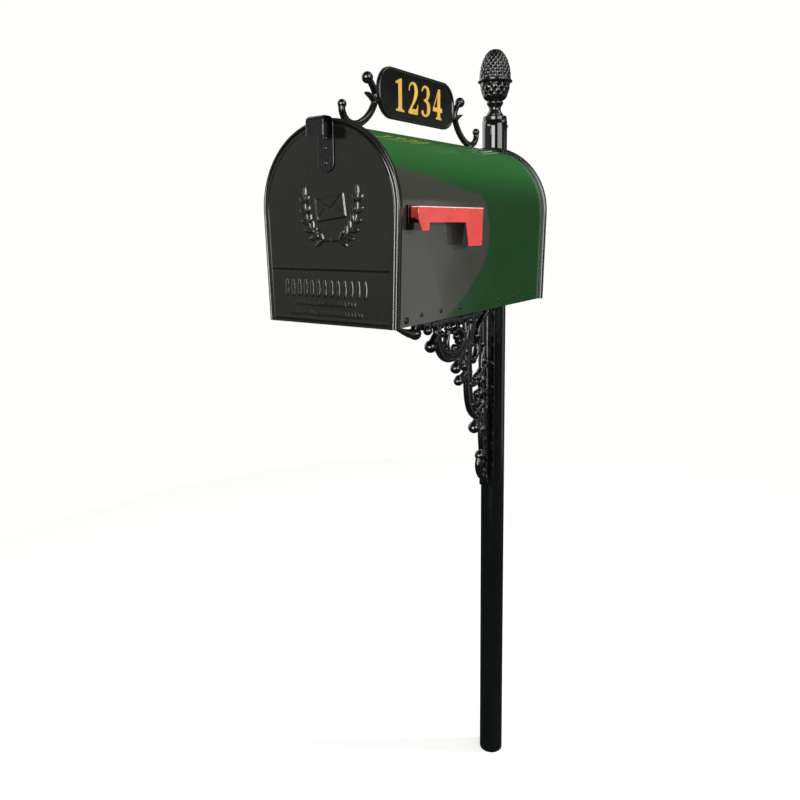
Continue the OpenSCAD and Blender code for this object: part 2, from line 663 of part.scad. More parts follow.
// Numerals on a field 60 wide and 100 high
module numeral_one() polygon([
    [8, 0], [54, 0], [54, 5], [44, 8], [41, 13], [41, 100], [34, 100], [8, 88],
    [8, 82], [18, 84], [22, 80], [22, 13], [19, 8], [8, 5]
]);

module numeral_two() polygon(concat(
    [[5, 70]],
    curve([[5, 70], [6, 91], [18, 100], [32, 100]]),
    curve([[32, 100], [49, 100], [58, 88], [58, 73]]),
    curve([[58, 73], [58, 53], [40, 38], [22, 17]]),
    [[44, 17]],
    curve([[44, 17], [51, 17], [54, 24], [56, 33]], 4),
    [[60, 33], [57, 0], [3, 0], [3, 8]],
    curve([[3, 8], [22, 28], [39, 50], [39, 72]]),
    curve([[39, 72], [39, 86], [34, 92], [27, 92]]),
    curve([[27, 92], [18, 92], [11, 85], [10, 70]])
));

module numeral_three() polygon(concat(
    [[7, 79]],
    curve([[7, 79], [10, 94], [20, 100], [31, 100]]),
    curve([[31, 100], [46, 100], [56, 91], [56, 78]]),
    curve([[56, 78], [56, 67], [50, 59], [41, 55]]),
    curve([[41, 55], [52, 51], [59, 42], [59, 29]]),
    curve([[59, 29], [59, 11], [45, 0], [26, 0]]),
    curve([[26, 0], [12, 0], [4, 5], [4, 13]]),
    curve([[4, 13], [4, 20], [13, 23], [17, 16]], 5),
    curve([[17, 16], [20, 10], [22, 7], [28, 7]], 4),
    curve([[28, 7], [36, 7], [40, 15], [40, 28]]),
    curve([[40, 28], [40, 42], [33, 49], [20, 49]]),
    [[20, 55]],
    curve([[20, 55], [32, 56], [38, 63], [38, 76]]),
    curve([[38, 76], [38, 87], [33, 92], [27, 92]]),
    curve([[27, 92], [19, 92], [14, 87], [11, 78]])
));

module numeral_four() difference() {
    polygon([
        [36, 100], [48, 100], [48, 39], [60, 39], [60, 25], [48, 25], [48, 9], [55, 6],
        [55, 0], [21, 0], [21, 6], [29, 9], [29, 25], [1, 25], [1, 33]
    ]);
    polygon([[29, 39], [29, 78], [9, 39]]);
}

module numeral(i) {
    if (i == 1) numeral_one();
    if (i == 2) numeral_two();
    if (i == 3) numeral_three();
    if (i == 4) numeral_four();
}

// The number 1234, raised from one face of the plate
module number_face() {
    k = numeral_h / 100;
    face = plate_t / 2 - face_drop;
    for (i = [1:4]) translate([0, (i - 2.5) * numeral_pitch - 30 * k, -numeral_h / 2])
        along_x(face + 0.02, face + 0.9) scale(k) numeral(i);
}

module numerals() color(number_gold) at_box() translate([0, sign_y, plate_z]) {
    number_face();
    rotate([0, 0, 180]) number_face();
}

// Scroll of the sign, in y ahead of the plate's end and z above the roof
sign_strokes = [
    [[[-104, 38], [-106, 20], [-94, 7], [-74, 7]], 11, 13],
    [[[-74, 7], [-46, 7], [-16, 33], [-8, 56]], 13, 12],
    [[[-8, 56], [-4, 70], [-16, 82], [-28, 90]], 12, 10],
    [[[-10, 54], [-16, 58], [-24, 62], [-33, 65]], 12, 2]
];
sign_balls = [[-103, 37, 8], [-30, 91, 10.5]];

module sign_scroll() difference() {
    union() {
        along_x(-6, 6) for (s = sign_strokes) stroke(s[0], s[1], s[2]);
        for (b = sign_balls) translate([0, b[0], b[1]]) sphere(r = b[2]);
        rod_z(0, foot_offset, seat_gap, 8, foot_r);
    }
    rod_z(0, foot_offset, -1, 7, 2.5 + hole_clear);
    rod_y(0, -12, 4, pin_z - roof_h, 2 + hole_clear);
}

foot_offset = plate_l / 2 - foot_reach;

module scroll_front() color(paint_black) at_box() translate([0, sign_y - plate_l / 2, roof_h]) sign_scroll();

module scroll_rear() color(paint_black) at_box() translate([0, sign_y + plate_l / 2, roof_h])
    mirror([0, 1, 0]) sign_scroll();

module plate_pins() color(zinc) at_box() for (s = [-1, 1])
    rod_y(0, sign_y + s * plate_l / 2 - 9, sign_y + s * plate_l / 2 + 9, pin_z, 2);

module scroll_screws() color(zinc) at_box() for (y = foot_stations) {
    rod_z(0, y, roof_h - sheet_t - 5, roof_h + 6.5, 2.5);
    rod_z(0, y, roof_h - sheet_t - 6, roof_h - sheet_t - 2, 4.8);
}

module scroll_washers() color(zinc) at_box() for (y = foot_stations) difference() {
    rod_z(0, y, roof_h - sheet_t - 1.9, inner_top(9) - 0.02, 9);
    rod_z(0, y, roof_h - sheet_t - 3, roof_h, 2.5 + hole_clear);
}

post_tube();
post_cap();
finial();
finial_stud();
cap_set_screws();
back_strap();
support_rail();
scroll_bracket();
strap_bolts();
strap_nuts();
casting_screws();
mounting_tray();
tray_bolts();
tray_nuts();
side_screws();
body_shell();
floor_pan();
floor_rivets();
rear_cap();
roof_catch();
catch_rivets();
hinge_rivets();
door_panel();
door_pull();
pull_rivets();
catch_tab();
flag_mount();
flag_mount_rivets();
flag_pivot_pin();
flag_washer();
flag();
number_plate();
numerals();
plate_pins();
scroll_front();
scroll_rear();
scroll_screws();
scroll_washers();
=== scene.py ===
import json
import math

import bmesh
import bpy
import numpy as np
from mathutils import Euler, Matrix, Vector

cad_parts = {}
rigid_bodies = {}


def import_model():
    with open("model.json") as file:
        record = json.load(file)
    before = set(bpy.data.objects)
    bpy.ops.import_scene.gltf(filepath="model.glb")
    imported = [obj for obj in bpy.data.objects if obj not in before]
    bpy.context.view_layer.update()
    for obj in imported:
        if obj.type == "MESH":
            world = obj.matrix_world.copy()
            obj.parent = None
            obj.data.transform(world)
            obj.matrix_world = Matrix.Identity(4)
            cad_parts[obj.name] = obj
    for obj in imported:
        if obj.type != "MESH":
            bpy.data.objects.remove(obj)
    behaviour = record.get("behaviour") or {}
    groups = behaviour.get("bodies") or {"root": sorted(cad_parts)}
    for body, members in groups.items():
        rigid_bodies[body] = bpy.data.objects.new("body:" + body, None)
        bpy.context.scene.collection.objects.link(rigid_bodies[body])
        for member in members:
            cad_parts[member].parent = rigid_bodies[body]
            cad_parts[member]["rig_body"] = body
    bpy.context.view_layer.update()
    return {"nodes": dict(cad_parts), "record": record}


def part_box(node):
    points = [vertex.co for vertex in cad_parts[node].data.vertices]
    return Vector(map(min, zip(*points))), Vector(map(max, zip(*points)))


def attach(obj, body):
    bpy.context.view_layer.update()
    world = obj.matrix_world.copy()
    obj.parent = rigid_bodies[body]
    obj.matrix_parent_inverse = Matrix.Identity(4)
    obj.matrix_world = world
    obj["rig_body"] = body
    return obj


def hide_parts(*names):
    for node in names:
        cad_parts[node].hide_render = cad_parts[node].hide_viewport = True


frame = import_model()
cadNodes = frame["nodes"]
mm = 0.001

# ---- where the box lies, read from the frame ----
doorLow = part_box("door_panel")[0]
rearLow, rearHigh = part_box("rear_cap")
shellLow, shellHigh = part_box("body_shell")
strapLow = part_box("back_strap")[0]
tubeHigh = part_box("post_tube")[1]
plateLow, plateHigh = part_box("number_plate")

rimR = (rearHigh.x - rearLow.x) / 2       # radius of the arched rims
floorZ = rearLow.z                        # the box's bottom edge
springH = rearHigh.z - rimR - floorZ      # height of the arch's centre above it
frontY = doorLow.y + 0.6 * mm             # the door's flat front
rearY = rearHigh.y
boxL = rearY - frontY
shellR = shellHigh.x - 4.3 * mm           # the shell's outside, inside its front bead
lean = math.radians(2)                    # lean of the side walls
roofZ = floorZ + springH + shellR
postR = tubeHigh.x
print("frame read: box", round(boxL, 3), "m long, rims", round(rimR, 4), "m")


# ---- shader maths ----
class Wire:
    # a node's output, with arithmetic
    def __init__(self, tree, socket):
        self.tree = tree
        self.socket = socket

    def maths(self, operation, a, b=0.0):
        return addNode(self.tree, "Math", {"operation": operation}, {0: a, 1: b})

    def __add__(self, other):
        return self.maths("ADD", self, other)

    def __sub__(self, other):
        return self.maths("SUBTRACT", self, other)

    def __rsub__(self, other):
        return self.maths("SUBTRACT", other, self)

    def __mul__(self, other):
        return self.maths("MULTIPLY", self, other)

    def __truediv__(self, other):
        return self.maths("DIVIDE", self, other)

    __radd__ = __add__
    __rmul__ = __mul__

    def power(self, exponent):
        return self.maths("POWER", self, exponent)

    def ramp(self, low, high, toLow=0.0, toHigh=1.0):
        # a smooth step from low to high
        return addNode(self.tree, "MapRange", {"interpolation_type": "SMOOTHSTEP"},
                       {0: self, 1: low, 2: high, 3: toLow, 4: toHigh})


def addNode(tree, kind, settings=None, sockets=None, output=0):
    node = tree.nodes.new("ShaderNode" + kind)
    for name, value in (settings or {}).items():
        setattr(node, name, value)
    for name, value in (sockets or {}).items():
        if isinstance(value, Wire):
            tree.links.new(value.socket, node.inputs[name])
        else:
            node.inputs[name].default_value = value
    return Wire(tree, node.outputs[output])


def mixColours(tree, share, first, second):
    # colour sockets of a Mix node are 6 and 7, and its colour output is 2
    return addNode(tree, "Mix", {"data_type": "RGBA"}, {0: share, 6: first, 7: second}, output=2)


def rgb(r, g, b):
    return (r, g, b, 1.0)


def startMaterial(name):
    material = bpy.data.materials.new(name)
    material.use_nodes = True
    tree = material.node_tree
    place = addNode(tree, "TexCoord", output=3)
    return material, tree, tree.nodes["Principled BSDF"], place


def noise(tree, place, scale, detail=2.0, roughness=0.5):
    return addNode(tree, "TexNoise", {}, {"Vector": place, "Scale": scale, "Detail": detail,
                                          "Roughness": roughness})


def bump(tree, height, strength, distance):
    return addNode(tree, "Bump", {}, {"Strength": strength, "Distance": distance, "Height": height})


def feed(tree, shader, **sockets):
    for name, value in sockets.items():
        socket = shader.inputs[name.replace("_", " ")]
        if isinstance(value, Wire):
            tree.links.new(value.socket, socket)
        else:
            socket.default_value = value


# ---- materials ----
paint = {
    "panelBlack": rgb(0.0125, 0.0125, 0.0105),
    "castBlack": rgb(0.0045, 0.005, 0.0045),
    "postBlack": rgb(0.004, 0.006, 0.005),
    # dark grey for the front of the shell's walls, lifted from black to stand in for part of a grey
    # reflected sheen
    "wallBlack": rgb(0.047, 0.047, 0.040),
    "red": rgb(0.86, 0.075, 0.065),
    "gold": rgb(0.86, 0.47, 0.09),
    "dust": rgb(0.20, 0.19, 0.16),
    "peelScale": 260.0,        # orange peel, waves per metre
    "peelDepth": 0.00006,
}


def paintMaterial(name, colour, rough=0.16, peel=1.0, dust=0.10, wear=0.0, coat=0.0):
    # sprayed paint: uneven tone, orange peel, patches of haze and a little dust on what faces up
    material, tree, shader, place = startMaterial(name)
    tone = noise(tree, place, 14.0, 3.0).ramp(0.25, 0.75, 0.82, 1.15)
    deep = mixColours(tree, tone - 0.5, rgb(*[c * 0.55 for c in colour[:3]]),
                      rgb(*[min(1, c * 1.35) for c in colour[:3]]))
    faceUp = addNode(tree, "SeparateXYZ", {}, {0: addNode(tree, "NewGeometry", output=1)}, output=2)
    specks = noise(tree, place, 900.0, 2.0).ramp(0.52, 0.72)
    film = noise(tree, place, 35.0, 4.0).ramp(0.35, 0.8)
    dusting = faceUp.ramp(0.35, 1.0) * (specks * 0.6 + film * 0.5) * dust
    tinted = mixColours(tree, dusting, deep, paint["dust"])
    if wear:
        edge = addNode(tree, "NewGeometry", output=7)
        chips = (edge + noise(tree, place, 420.0, 3.0) * 0.16).ramp(0.64, 0.70) * wear
        tinted = mixColours(tree, chips, tinted, rgb(0.16, 0.15, 0.14))
    peelWaves = noise(tree, place, paint["peelScale"], 1.5)
    haze = noise(tree, place, 22.0, 4.0).ramp(0.3, 0.8, rough * 0.75, rough * 1.35)
    feed(tree, shader, Base_Color=tinted, Roughness=haze + dusting * 0.5, Metallic=0.0, IOR=1.5,
         Normal=bump(tree, peelWaves, 0.35 * peel, paint["peelDepth"]))
    shader.inputs["Coat Weight"].default_value = coat
    shader.inputs["Coat Roughness"].default_value = 0.05
    return material


def shellReflectionMaterial():
    # painted reflection: dark green painted over the roof and the rear stands for green surroundings
    # reflected in gloss paint, and the front of each wall keeps a dark grey, with a soft curved edge
    # between that follows the reflection's edge
    material, tree, shader, place = startMaterial("shellPaint")
    axes = [addNode(tree, "SeparateXYZ", {}, {0: place}, output=i) for i in range(3)]
    back = axes[1] - frontY
    up = axes[2] - floorZ
    wander = noise(tree, place, 9.0, 2.0) * 0.016 - 0.008
    # the curved edge of the painted green reflection along each wall, and its edge below the roof
    reach = 0.327 - (up - 0.150).power(2) * 7.24
    frontReflectionEdge = (reach - back + wander).ramp(-0.006, 0.008)
    roofReflectionEdge = (0.263 - back * 0.15 - up + wander * 0.6).ramp(-0.008, 0.008)
    greySheenPatch = frontReflectionEdge * roofReflectionEdge
    tone = noise(tree, place, 7.0, 3.0).ramp(0.25, 0.75, 0.0, 1.0)
    # painted sheen: the green lightens from the walls up onto the roof, standing in for light and
    # reflection there
    upper = up.ramp(0.195, 0.325)
    green = mixColours(tree, upper, rgb(0.008, 0.044, 0.011), rgb(0.024, 0.135, 0.028))
    green = mixColours(tree, tone * 0.3, green, mixColours(tree, 0.5, green, paint["wallBlack"]))
    tinted = mixColours(tree, greySheenPatch, green, paint["wallBlack"])
    faceUp = addNode(tree, "SeparateXYZ", {}, {0: addNode(tree, "NewGeometry", output=1)}, output=2)
    specks = noise(tree, place, 1100.0, 2.0).ramp(0.56, 0.74)
    dusting = (specks * 0.05 + faceUp.ramp(0.3, 1.0) * noise(tree, place, 30.0, 4.0).ramp(0.4, 0.85) * 0.05)
    tinted = mixColours(tree, dusting, tinted, paint["dust"])
    haze = noise(tree, place, 18.0, 4.0).ramp(0.3, 0.8, 0.07, 0.13)
    waves = noise(tree, place, paint["peelScale"], 1.5) + noise(tree, place, 11.0, 1.0) * 6.0
    feed(tree, shader, Base_Color=tinted, Roughness=haze + dusting * 0.6, IOR=1.5,
         Normal=bump(tree, waves, 0.25, paint["peelDepth"]))
    return material


def metalMaterial(name, colour, rough=0.35):
    # plated or turned metal: fine brushing and dull patches
    material, tree, shader, place = startMaterial(name)
    patches = noise(tree, place, 60.0, 4.0).ramp(0.3, 0.75)
    stained = mixColours(tree, patches, rgb(*[c * 0.62 for c in colour[:3]]), colour)
    grain = noise(tree, place, 1500.0, 2.0)
    feed(tree, shader, Base_Color=stained, Metallic=1.0, Roughness=rough + patches * 0.12,
         Normal=bump(tree, grain, 0.15, 0.00005))
    return material


panelPaint = paintMaterial("panelPaint", paint["panelBlack"], rough=0.16, peel=0.15, dust=0.02)
rearPaint = paintMaterial("rearPaint", paint["panelBlack"], rough=0.17, peel=0.3, dust=0.04)
castPaint = paintMaterial("castPaint", paint["castBlack"], rough=0.19, peel=1.0, wear=0.04)
postPaint = paintMaterial("postPaint", paint["postBlack"], rough=0.13, peel=0.4, dust=0.05)


def flagMaterial():
    # red paint, with a painted pale highlight along the flag's upper edge
    material = paintMaterial("flagPaint", paint["red"], rough=0.22, peel=0.8, dust=0.04)
    tree = material.node_tree
    shader = tree.nodes["Principled BSDF"]
    under = Wire(tree, shader.inputs["Base Color"].links[0].from_socket)
    place = addNode(tree, "TexCoord", output=3)
    up = addNode(tree, "SeparateXYZ", {}, {0: place}, output=2) - (flagHigh.z - 1.3 * mm)
    # painted highlight: a pale line along the top edge
    topEdgeHighlight = (up * 1000.0 + noise(tree, place, 60.0, 3.0) * 0.9).ramp(0.25, 0.75)
    feed(tree, shader, Base_Color=mixColours(tree, topEdgeHighlight, under, rgb(0.95, 0.88, 0.86)))
    return material


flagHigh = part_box("flag")[1]
flagPaint = flagMaterial()
goldPaint = paintMaterial("goldPaint", paint["gold"], rough=0.3, peel=0.8, dust=0.0)
hardwarePaint = paintMaterial("hardwarePaint", paint["castBlack"], rough=0.10, dust=0.05, wear=0.08)
shellPaint = shellReflectionMaterial()
zinc = metalMaterial("zincPlate", rgb(0.56, 0.57, 0.58), 0.36)
brass = metalMaterial("brassScrew", rgb(0.42, 0.32, 0.18), 0.35)
print("materials made")


# ---- mesh helpers ----
def finishMesh(name, points, faces, material, body, slot, crease=40):
    # merges doubles, turns the faces outwards and smooths all but the sharp edges
    mesh = bpy.data.meshes.new(name)
    mesh.from_pydata(np.asarray(points).reshape(-1, 3).tolist(), [], faces)
    work = bmesh.new()
    work.from_mesh(mesh)
    bmesh.ops.remove_doubles(work, verts=work.verts, dist=1e-6)
    bmesh.ops.dissolve_degenerate(work, edges=work.edges, dist=1e-7)
    bmesh.ops.recalc_face_normals(work, faces=work.faces)
    work.to_mesh(mesh)
    work.free()
    mesh.shade_smooth()
    mesh.set_sharp_from_angle(angle=math.radians(crease))
    piece = bpy.data.objects.new(name, mesh)
    bpy.context.scene.collection.objects.link(piece)
    mesh.materials.append(material)
    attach(piece, body)
    return piece


def gridFaces(n, m, wrapN=False, wrapM=False, start=0):
    # quads of a grid of n by m points
    i = np.arange(n if wrapN else n - 1)[:, None]
    j = np.arange(m if wrapM else m - 1)[None, :]
    iNext, jNext = (i + 1) % n, (j + 1) % m
    quads = np.stack([i * m + j, iNext * m + j, iNext * m + jNext, i * m + jNext], -1).reshape(-1, 4)
    return (quads + start).tolist()


def tube(grid):
    # a closed ring at each step along a path, with both ends closed
    n, m = grid.shape[:2]
    faces = gridFaces(n, m, wrapM=True)
    return grid.reshape(-1, 3), faces + [list(range(m))[::-1], list(range((n - 1) * m, n * m))]


def archPoints(rho, t, low=0.0):
    # across the arch of radius rho: t runs 0 to 1 from the left foot, up its leg,
    # over the top and down to the right foot
    rho, t = np.broadcast_arrays(np.asarray(rho, float), np.asarray(t, float))
    side = np.where(t < 0.5, -1.0, 1.0)
    leg = np.clip((np.abs(t - 0.5) - 0.25) / 0.25, 0, 1)
    angle = np.clip(np.abs(t - 0.5) / 0.25, 0, 1) * (math.pi / 2 + lean)
    drop = (springH - rho * math.sin(lean) - low) / math.cos(lean)
    x = side * (rho * np.sin(angle) - leg * drop * math.sin(lean))
    z = springH + rho * np.cos(angle) - leg * drop * math.cos(lean)
    return x, z + floorZ


archSteps = np.concatenate([np.linspace(0, 0.25, 26), np.linspace(0.25, 0.75, 121)[1:],
                            np.linspace(0.75, 1, 26)[1:]])


def sweepArch(profile, low=0.0, steps=archSteps):
    # a closed outline of (radius, distance from the door) carried along the arch
    profile = np.asarray(profile)
    x, z = archPoints(profile[None, :, 0], steps[:, None], low)
    y = np.broadcast_to(profile[None, :, 1] + frontY, x.shape)
    return tube(np.stack([x, y, z], -1))


def arcOf(centre, radius, start, stop, count=12):
    a = np.radians(np.linspace(start, stop, count))
    return np.stack([centre[0] + radius * np.cos(a), centre[1] + radius * np.sin(a)], -1)


def revolve(profile, count=64, axis="z", centre=(0, 0, 0)):
    # a profile of (radius, height) turned about an axis through centre
    profile = np.asarray(profile)
    a = np.linspace(0, 2 * math.pi, count, endpoint=False)[:, None]
    r, h = profile[None, :, 0], profile[None, :, 1]
    u, v, w = r * np.cos(a), r * np.sin(a), np.broadcast_to(h, (count, len(profile)))
    order = {"z": (u, v, w), "x": (w, u, v), "y": (u, w, v)}[axis]
    points = np.stack(order, -1) + np.asarray(centre)
    return points.reshape(-1, 3), gridFaces(count, len(profile), wrapN=True)


def joined(parts):
    points, faces, start = [], [], 0
    for p, f in parts:
        p = np.asarray(p).reshape(-1, 3)
        points.append(p)
        faces += [[k + start for k in face] for face in f]
        start += len(p)
    return np.concatenate(points), faces


def cubicPoints(c, n):
    # a cubic curve through its control points and its unit slope
    c = np.asarray(c, float)
    t = np.linspace(0, 1, n)[:, None]
    p = (1 - t) ** 3 * c[0] + 3 * (1 - t) ** 2 * t * c[1] + 3 * (1 - t) * t ** 2 * c[2] + t ** 3 * c[3]
    d = 3 * (1 - t) ** 2 * (c[1] - c[0]) + 6 * (1 - t) * t * (c[2] - c[1]) + 3 * t ** 2 * (c[3] - c[2])
    return p, d / np.linalg.norm(d, axis=1, keepdims=True)


def castStroke(c, width0, width1, thick, place, mirrorY=1.0, n=18, m=20, rib=0.0):
    # a band of oval section along a cubic curve in the y-z plane, with round ends
    p, d = cubicPoints(c, n)
    w = np.linspace(width0, width1, n) / 2
    turn = np.linspace(0, math.pi / 2, 6)[1:]
    headP = [p[0] - d[0] * w[0] * math.sin(a) for a in turn[::-1]]
    tailP = [p[-1] + d[-1] * w[-1] * math.sin(a) for a in turn]
    p = np.concatenate([headP, p, tailP])
    d = np.concatenate([np.repeat(d[:1], 5, 0), d, np.repeat(d[-1:], 5, 0)])
    scale = np.concatenate([np.cos(turn[::-1]), np.ones(n), np.cos(turn)])
    w = np.concatenate([np.full(5, w[0]), w, np.full(5, w[-1])]) * scale
    a = np.linspace(0, 2 * math.pi, m, endpoint=False)
    across = np.sign(np.cos(a)) * np.abs(np.cos(a)) ** 0.8
    over = np.sign(np.sin(a)) * np.abs(np.sin(a)) ** 0.8
    side = np.stack([-d[:, 1], d[:, 0]], -1)
    yz = p[:, None, :] + side[:, None, :] * (w[:, None] * across[None, :])[..., None]
    x = (thick / 2 * scale ** 0.6)[:, None] * over[None, :]
    if rib:
        x = x * (1 - rib * np.exp(-(across / 0.28) ** 2))[None, :]
    grid = np.stack([x, yz[..., 0] * mirrorY, yz[..., 1]], -1) * mm + np.asarray(place)
    return tube(grid)


def castBall(y, z, radius, place, mirrorY=1.0):
    points, faces = revolve(arcOf((0, 0), radius * mm, -90, 90, 17), 28, "x")
    return points + np.array([0, y * mirrorY * mm, z * mm]) + np.asarray(place), faces


def fuse(piece, voxel, rounds=2):
    # melts overlapping strokes into one skin and eases the joins
    remesh = piece.modifiers.new("fuse", "REMESH")
    remesh.mode = "VOXEL"
    remesh.voxel_size = voxel
    remesh.use_smooth_shade = True
    ease = piece.modifiers.new("ease", "SMOOTH")
    ease.factor = 0.5
    ease.iterations = rounds
    found = piece.evaluated_get(bpy.context.evaluated_depsgraph_get())
    solid = bpy.data.meshes.new_from_object(found)
    piece.modifiers.clear()
    materials = list(piece.data.materials)
    piece.data = solid
    solid.materials.clear()
    for material in materials:
        solid.materials.append(material)
    solid.shade_smooth()
    return piece


def bevelled(name, node, material, width, segments=2, angle=28):
    # a copy of a CAD node, merged and cleared of flat seams, with its edges rounded
    source = cadNodes[node]
    mesh = source.data.copy()
    work = bmesh.new()
    work.from_mesh(mesh)
    bmesh.ops.remove_doubles(work, verts=work.verts, dist=2e-6)
    bmesh.ops.dissolve_limit(work, angle_limit=math.radians(0.6), verts=work.verts, edges=work.edges)
    bmesh.ops.recalc_face_normals(work, faces=work.faces)
    work.to_mesh(mesh)
    work.free()
    mesh.materials.clear()
    mesh.materials.append(material)
    piece = bpy.data.objects.new(name, mesh)
    bpy.context.scene.collection.objects.link(piece)
    if width:
        edge = piece.modifiers.new("edge", "BEVEL")
        edge.width = width
        edge.segments = segments
        edge.limit_method = "ANGLE"
        edge.angle_limit = math.radians(angle)
        edge.use_clamp_overlap = True
        edge.miter_outer = "MITER_ARC"
    mesh.shade_smooth()
    mesh.set_sharp_from_angle(angle=math.radians(angle + 10))
    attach(piece, source["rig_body"])
    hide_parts(node)
    return piece


def partBoxes(node):
    # the corners of each separate solid of a CAD node
    mesh = cadNodes[node].data
    co = np.zeros(len(mesh.vertices) * 3)
    mesh.vertices.foreach_get("co", co)
    co = co.reshape(-1, 3)
    _, same = np.unique(np.round(co, 6), axis=0, return_inverse=True)
    same = same.reshape(-1)
    corners = np.zeros(len(mesh.loops), int)
    mesh.loops.foreach_get("vertex_index", corners)
    triangles = same[corners].reshape(-1, 3)
    label = np.arange(same.max() + 1)
    while True:
        least = label[triangles].min(1)
        fresh = label.copy()
        np.minimum.at(fresh, triangles.reshape(-1), np.repeat(least, 3))
        fresh = fresh[fresh]
        if (fresh == label).all():
            break
        label = fresh
    owner = label[same]
    return [(co[owner == k].min(0), co[owner == k].max(0)) for k in np.unique(owner)]


slotOf = {row["node"]: row["material_slot"] for row in frame["record"]["subparts"]}
paintOf = {
    "black_post": postPaint, "black_casting": castPaint, "black_panel": panelPaint,
    "green_shell": shellPaint,
    "red_flag": flagPaint, "gold_numerals": goldPaint, "black_hardware": hardwarePaint,
    "zinc_hardware": zinc, "brass_screws": brass,
}
for nodeName, nodeObject in cadNodes.items():
    nodeObject.data.materials.clear()
    nodeObject.data.materials.append(paintOf[slotOf[nodeName]])


# ---- post ----
post = {"wall": 2.5 * mm, "edge": 0.6 * mm, "sides": 128}
tubeTop = tubeHigh.z
inner = postR - post["wall"]
e = post["edge"]
tubeProfile = np.concatenate([
    [[postR - e, 0.0], [postR, e]],
    [[postR, z] for z in np.linspace(0.02, tubeTop - 0.02, 40)],
    [[postR, tubeTop - e], [postR - e, tubeTop], [inner, tubeTop], [inner, 0.0], [postR - e, 0.0]],
])
tubePiece = finishMesh("postTube", *revolve(tubeProfile, post["sides"]), postPaint, "post_assembly",
                       "black_post", 50)
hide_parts("post_tube")

capLow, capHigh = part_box("post_cap")
capR = capHigh.x
capProfile = np.concatenate([
    [[0, capLow.z], [inner - 0.3 * mm, capLow.z], [inner - 0.3 * mm, tubeTop + 0.05 * mm],
     [capR - 1 * mm, tubeTop + 0.05 * mm]],
    arcOf((capR - 1.5 * mm, tubeTop + 1.6 * mm), 1.5 * mm, -60, 0, 5),
    arcOf((capR - 3.5 * mm, capHigh.z - 3.5 * mm), 3.5 * mm, 0, 90, 9),
    [[0, capHigh.z]],
])
capPiece = finishMesh("postCap", *revolve(capProfile, 96), castPaint, "post_assembly", "black_post", 50)
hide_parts("post_cap")

# the finial is turned, with rows of overlapping scales above and below a sharp ring
cone = {"ringZ": 76.0, "depth": 3.2, "cupDepth": 2.8}
finLow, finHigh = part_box("finial")
stem = np.concatenate([
    [[0, 0], [18.6, 0], [19.5, 0.9], [19.5, 3.2], [18.9, 4.0]],
    cubicPoints([(18.9, 4.0), (16, 8), (13, 12), (13.6, 17)], 10)[0][1:],
    cubicPoints([(13.6, 17), (14, 21), (16, 23), (18, 26)], 8)[0][1:],
    [[18.9, 27.4], [19.4, 29.3], [18.9, 31.4], [17.2, 33.2], [16.8, 34]],
])
cup = cubicPoints([(16.8, 34), (28, 38), (33.5, 52), (35.5, 74)], 70)[0]
crown = cubicPoints([(36.5, 79.5), (38.5, 104), (29, 138), (12, 146)], 170)[0]
tip = cubicPoints([(12, 146), (8, 148), (4, 148.8), (0, 148.9)], 12)[0]
ring = np.array([[37.6, 75.0], [39.7, 76.2], [39.9, 77.2], [39.4, 78.2], [37.4, 79.2]])
finProfile = np.concatenate([stem, cup, ring, crown, tip])
finHeight = (finHigh.z - finLow.z) / mm
finProfile[:, 1] *= finHeight / 149.0
count = 228
angles = np.linspace(0, 2 * math.pi, count, endpoint=False)[:, None]
run = np.concatenate([[0], np.cumsum(np.linalg.norm(np.diff(finProfile, axis=0), axis=1))])[None, :]
# a scale is a pillow between two families of crossing spirals, thickest at its upper end
z = finProfile[None, :, 1]


def scales(countRound, rowLength):
    phase, lift = angles * countRound / (2 * math.pi), run / rowLength
    first, second = (phase + lift) % 1.0, (lift - phase) % 1.0
    pillow = (16 * first * (1 - first) * second * (1 - second)) ** 0.55
    return pillow * (0.62 + 0.38 * (first + second) / 2)


inCup = np.clip((z - 42) / 6, 0, 1) * np.clip((cone["ringZ"] - 1.5 - z) / 3, 0, 1)
inCrown = np.clip((z - 81) / 3, 0, 1) * np.clip((147.0 - z) / 6, 0, 1)
taper = np.clip(finProfile[None, :, 0] / 32, 0.3, 1)
sunk = inCup * cone["cupDepth"] * (1 - scales(11, 20.0)) + inCrown * cone["depth"] * (1 - scales(15, 15.0))
radius = finProfile[None, :, 0] - sunk * taper
finGrid = np.stack([radius * np.cos(angles), radius * np.sin(angles), np.broadcast_to(z, radius.shape)],
                   -1) * mm
finGrid[..., 2] += finLow.z
finFaces = gridFaces(count, finGrid.shape[1], wrapN=True)
finialPiece = finishMesh("finial", finGrid, finFaces, castPaint, "post_assembly", "black_casting", 60)
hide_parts("finial")
bevelled("finialStud", "finial_stud", zinc, 0.0)
bevelled("capScrews", "cap_set_screws", brass, 0.5 * mm)
print("post made")


# ---- shell ----
shell = {"sheet": 1.2 * mm, "start": 10.6 * mm, "beadW": 9.0 * mm, "beadH": 4.2 * mm, "dents": 0.25 * mm}
shellEnd = shellHigh.y - frontY
along = np.linspace(shell["start"], shellEnd, 90)
outer = np.stack([np.full(90, shellR), along], -1)
innerWall = np.stack([np.full(90, shellR - shell["sheet"]), along], -1)[::-1]
shellPoints, shellFaces = sweepArch(np.concatenate([outer, innerWall]))
# rolled sheet is never quite true: long shallow waves move both faces together
wave = np.sin(shellPoints[:, 1] * 17.0 + shellPoints[:, 2] * 9.0) * np.sin(shellPoints[:, 2] * 31.0 + 0.6)
calm = np.clip((shellPoints[:, 1] - shellLow.y) / 0.06, 0, 1)
calm = calm * np.clip((shellHigh.y - shellPoints[:, 1]) / 0.06, 0, 1)
shellPoints[:, 0] *= 1 - np.abs(wave) * calm * shell["dents"] / shellR
shellPiece = finishMesh("shell", shellPoints, shellFaces, shellPaint, "post_assembly", "green_shell", 50)
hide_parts("body_shell")

